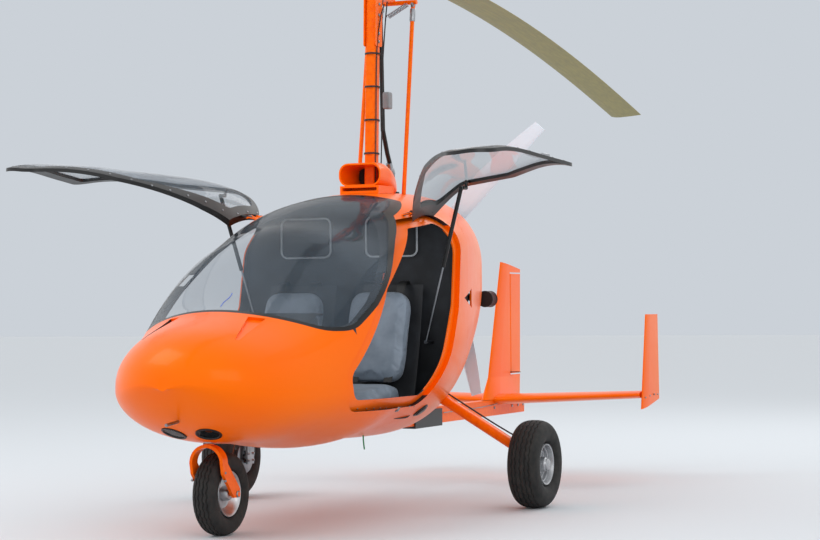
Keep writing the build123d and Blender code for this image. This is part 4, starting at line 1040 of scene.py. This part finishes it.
class GYRO_OT_stage(bpy.types.Operator):
    """Builds the pale floor, the soft lights and the photograph's camera"""
    bl_idname = "gyro.stage"
    bl_label = "Stage"

    def execute(self, context):
        scene = context.scene
        settings = scene.gyro
        scene.view_settings.view_transform = "Standard"
        floor = bpy.data.meshes.new("studio_floor")
        half = 60.0
        floor.from_pydata([(-half, -half, 0), (half, -half, 0), (half, half, 0), (-half, half, 0)], [],
                          [(0, 1, 2, 3)])
        ground = bpy.data.objects.new("studio_floor", floor)
        scene.collection.objects.link(ground)
        made, tree, shader, place = material("studio_floor", Roughness=0.9)
        shader.inputs["Base Color"].default_value = linear(settings.floor_colour)
        floor.materials.append(made)

        world = bpy.data.worlds.new("studio")
        world.use_nodes = True
        scene.world = world
        tree = world.node_tree
        background = tree.nodes["Background"]
        path = add(tree, "ShaderNodeLightPath")
        seen = add(tree, "ShaderNodeMath",
                   {0: path.outputs["Is Camera Ray"], 1: path.outputs["Is Transmission Ray"]},
                   operation="MAXIMUM")
        colour = add(tree, "ShaderNodeMix",
                     {"Factor": seen.outputs[0], 6: linear("#F2F4F6"), 7: linear("#CBD1D8")},
                     data_type="RGBA")
        tree.links.new(colour.outputs[2], background.inputs["Color"])
        strength = add(tree, "ShaderNodeMapRange",
                       {"Value": seen.outputs[0], "To Min": 1.05, "To Max": 1.0})
        tree.links.new(strength.outputs["Result"], background.inputs["Strength"])

        # columns: name, place, target, width, height, power
        boxes = [
            ("key_box", (5.5, -4.5, 7.5), (0, 0, 1), 5.0, 5.0, settings.key_strength),
            ("fill_box", (7.5, 7.5, 4.5), (0.4, 0, 1), 6.0, 4.0, settings.fill_strength),
            ("back_box", (-7.0, 2.0, 6.5), (-1, 0, 1), 5.0, 4.0, settings.fill_strength),
        ]
        for name, place, target, width, height, power in boxes:
            light = bpy.data.lights.new(name, "AREA")
            light.shape = "RECTANGLE"
            light.size = width
            light.size_y = height
            light.energy = power
            lamp = bpy.data.objects.new(name, light)
            aim = Vector(target) - Vector(place)
            lamp.matrix_world = Matrix.Translation(place) @ aim.to_track_quat(
                "-Z", "Y").to_matrix().to_4x4()
            scene.collection.objects.link(lamp)

        yaw, pitch, roll = (math.radians(v) for v in (CAMERA_YAW_DEG, CAMERA_PITCH_DEG, CAMERA_ROLL_DEG))
        ahead = Vector((-math.cos(yaw) * math.cos(pitch), -math.sin(yaw) * math.cos(pitch),
                        math.sin(pitch)))
        right = ahead.cross(Vector((0, 0, 1))).normalized()
        up = right.cross(ahead)
        right, up = right * math.cos(roll) + up * math.sin(roll), up * math.cos(roll) - right * math.sin(roll)
        turn = Matrix((right, up, -ahead)).transposed().to_4x4()
        camera = bpy.data.objects.new("camera", bpy.data.cameras.new("camera"))
        camera.data.sensor_width = 36.0
        camera.data.sensor_fit = "HORIZONTAL"
        camera.data.lens = CAMERA_LENS_MM
        camera.data.clip_end = 200.0
        camera.matrix_world = Matrix.Translation(CAMERA_PLACE) @ turn
        scene.collection.objects.link(camera)
        scene.camera = camera
        return {"FINISHED"}


class GYRO_PT_panel(bpy.types.Panel):
    """Lists the gyrocopter's pieces"""
    bl_idname = "GYRO_PT_panel"
    bl_label = "Gyrocopter"
    bl_space_type = "VIEW_3D"
    bl_region_type = "UI"
    bl_category = "Gyrocopter"

    def draw(self, context):
        settings = context.scene.gyro
        for name in ("key_strength", "fill_strength", "floor_colour"):
            self.layout.prop(settings, name)
        for operator in OPERATORS:
            self.layout.operator(operator.bl_idname)


OPERATORS = [GYRO_OT_finishes, GYRO_OT_wheels, GYRO_OT_cabin, GYRO_OT_doors, GYRO_OT_head, GYRO_OT_power,
             GYRO_OT_outside, GYRO_OT_stage]


def register():
    for cls in [GyroSettings] + OPERATORS + [GYRO_PT_panel]:
        bpy.utils.register_class(cls)
    bpy.types.Scene.gyro = bpy.props.PointerProperty(type=GyroSettings)


def unregister():
    del bpy.types.Scene.gyro
    for cls in reversed([GyroSettings] + OPERATORS + [GYRO_PT_panel]):
        bpy.utils.unregister_class(cls)


def main():
    """Registers the add-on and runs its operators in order."""
    register()
    for operator in OPERATORS:
        family, name = operator.bl_idname.split(".")
        getattr(getattr(bpy.ops, family), name)()


if __name__ == "__main__":
    main()
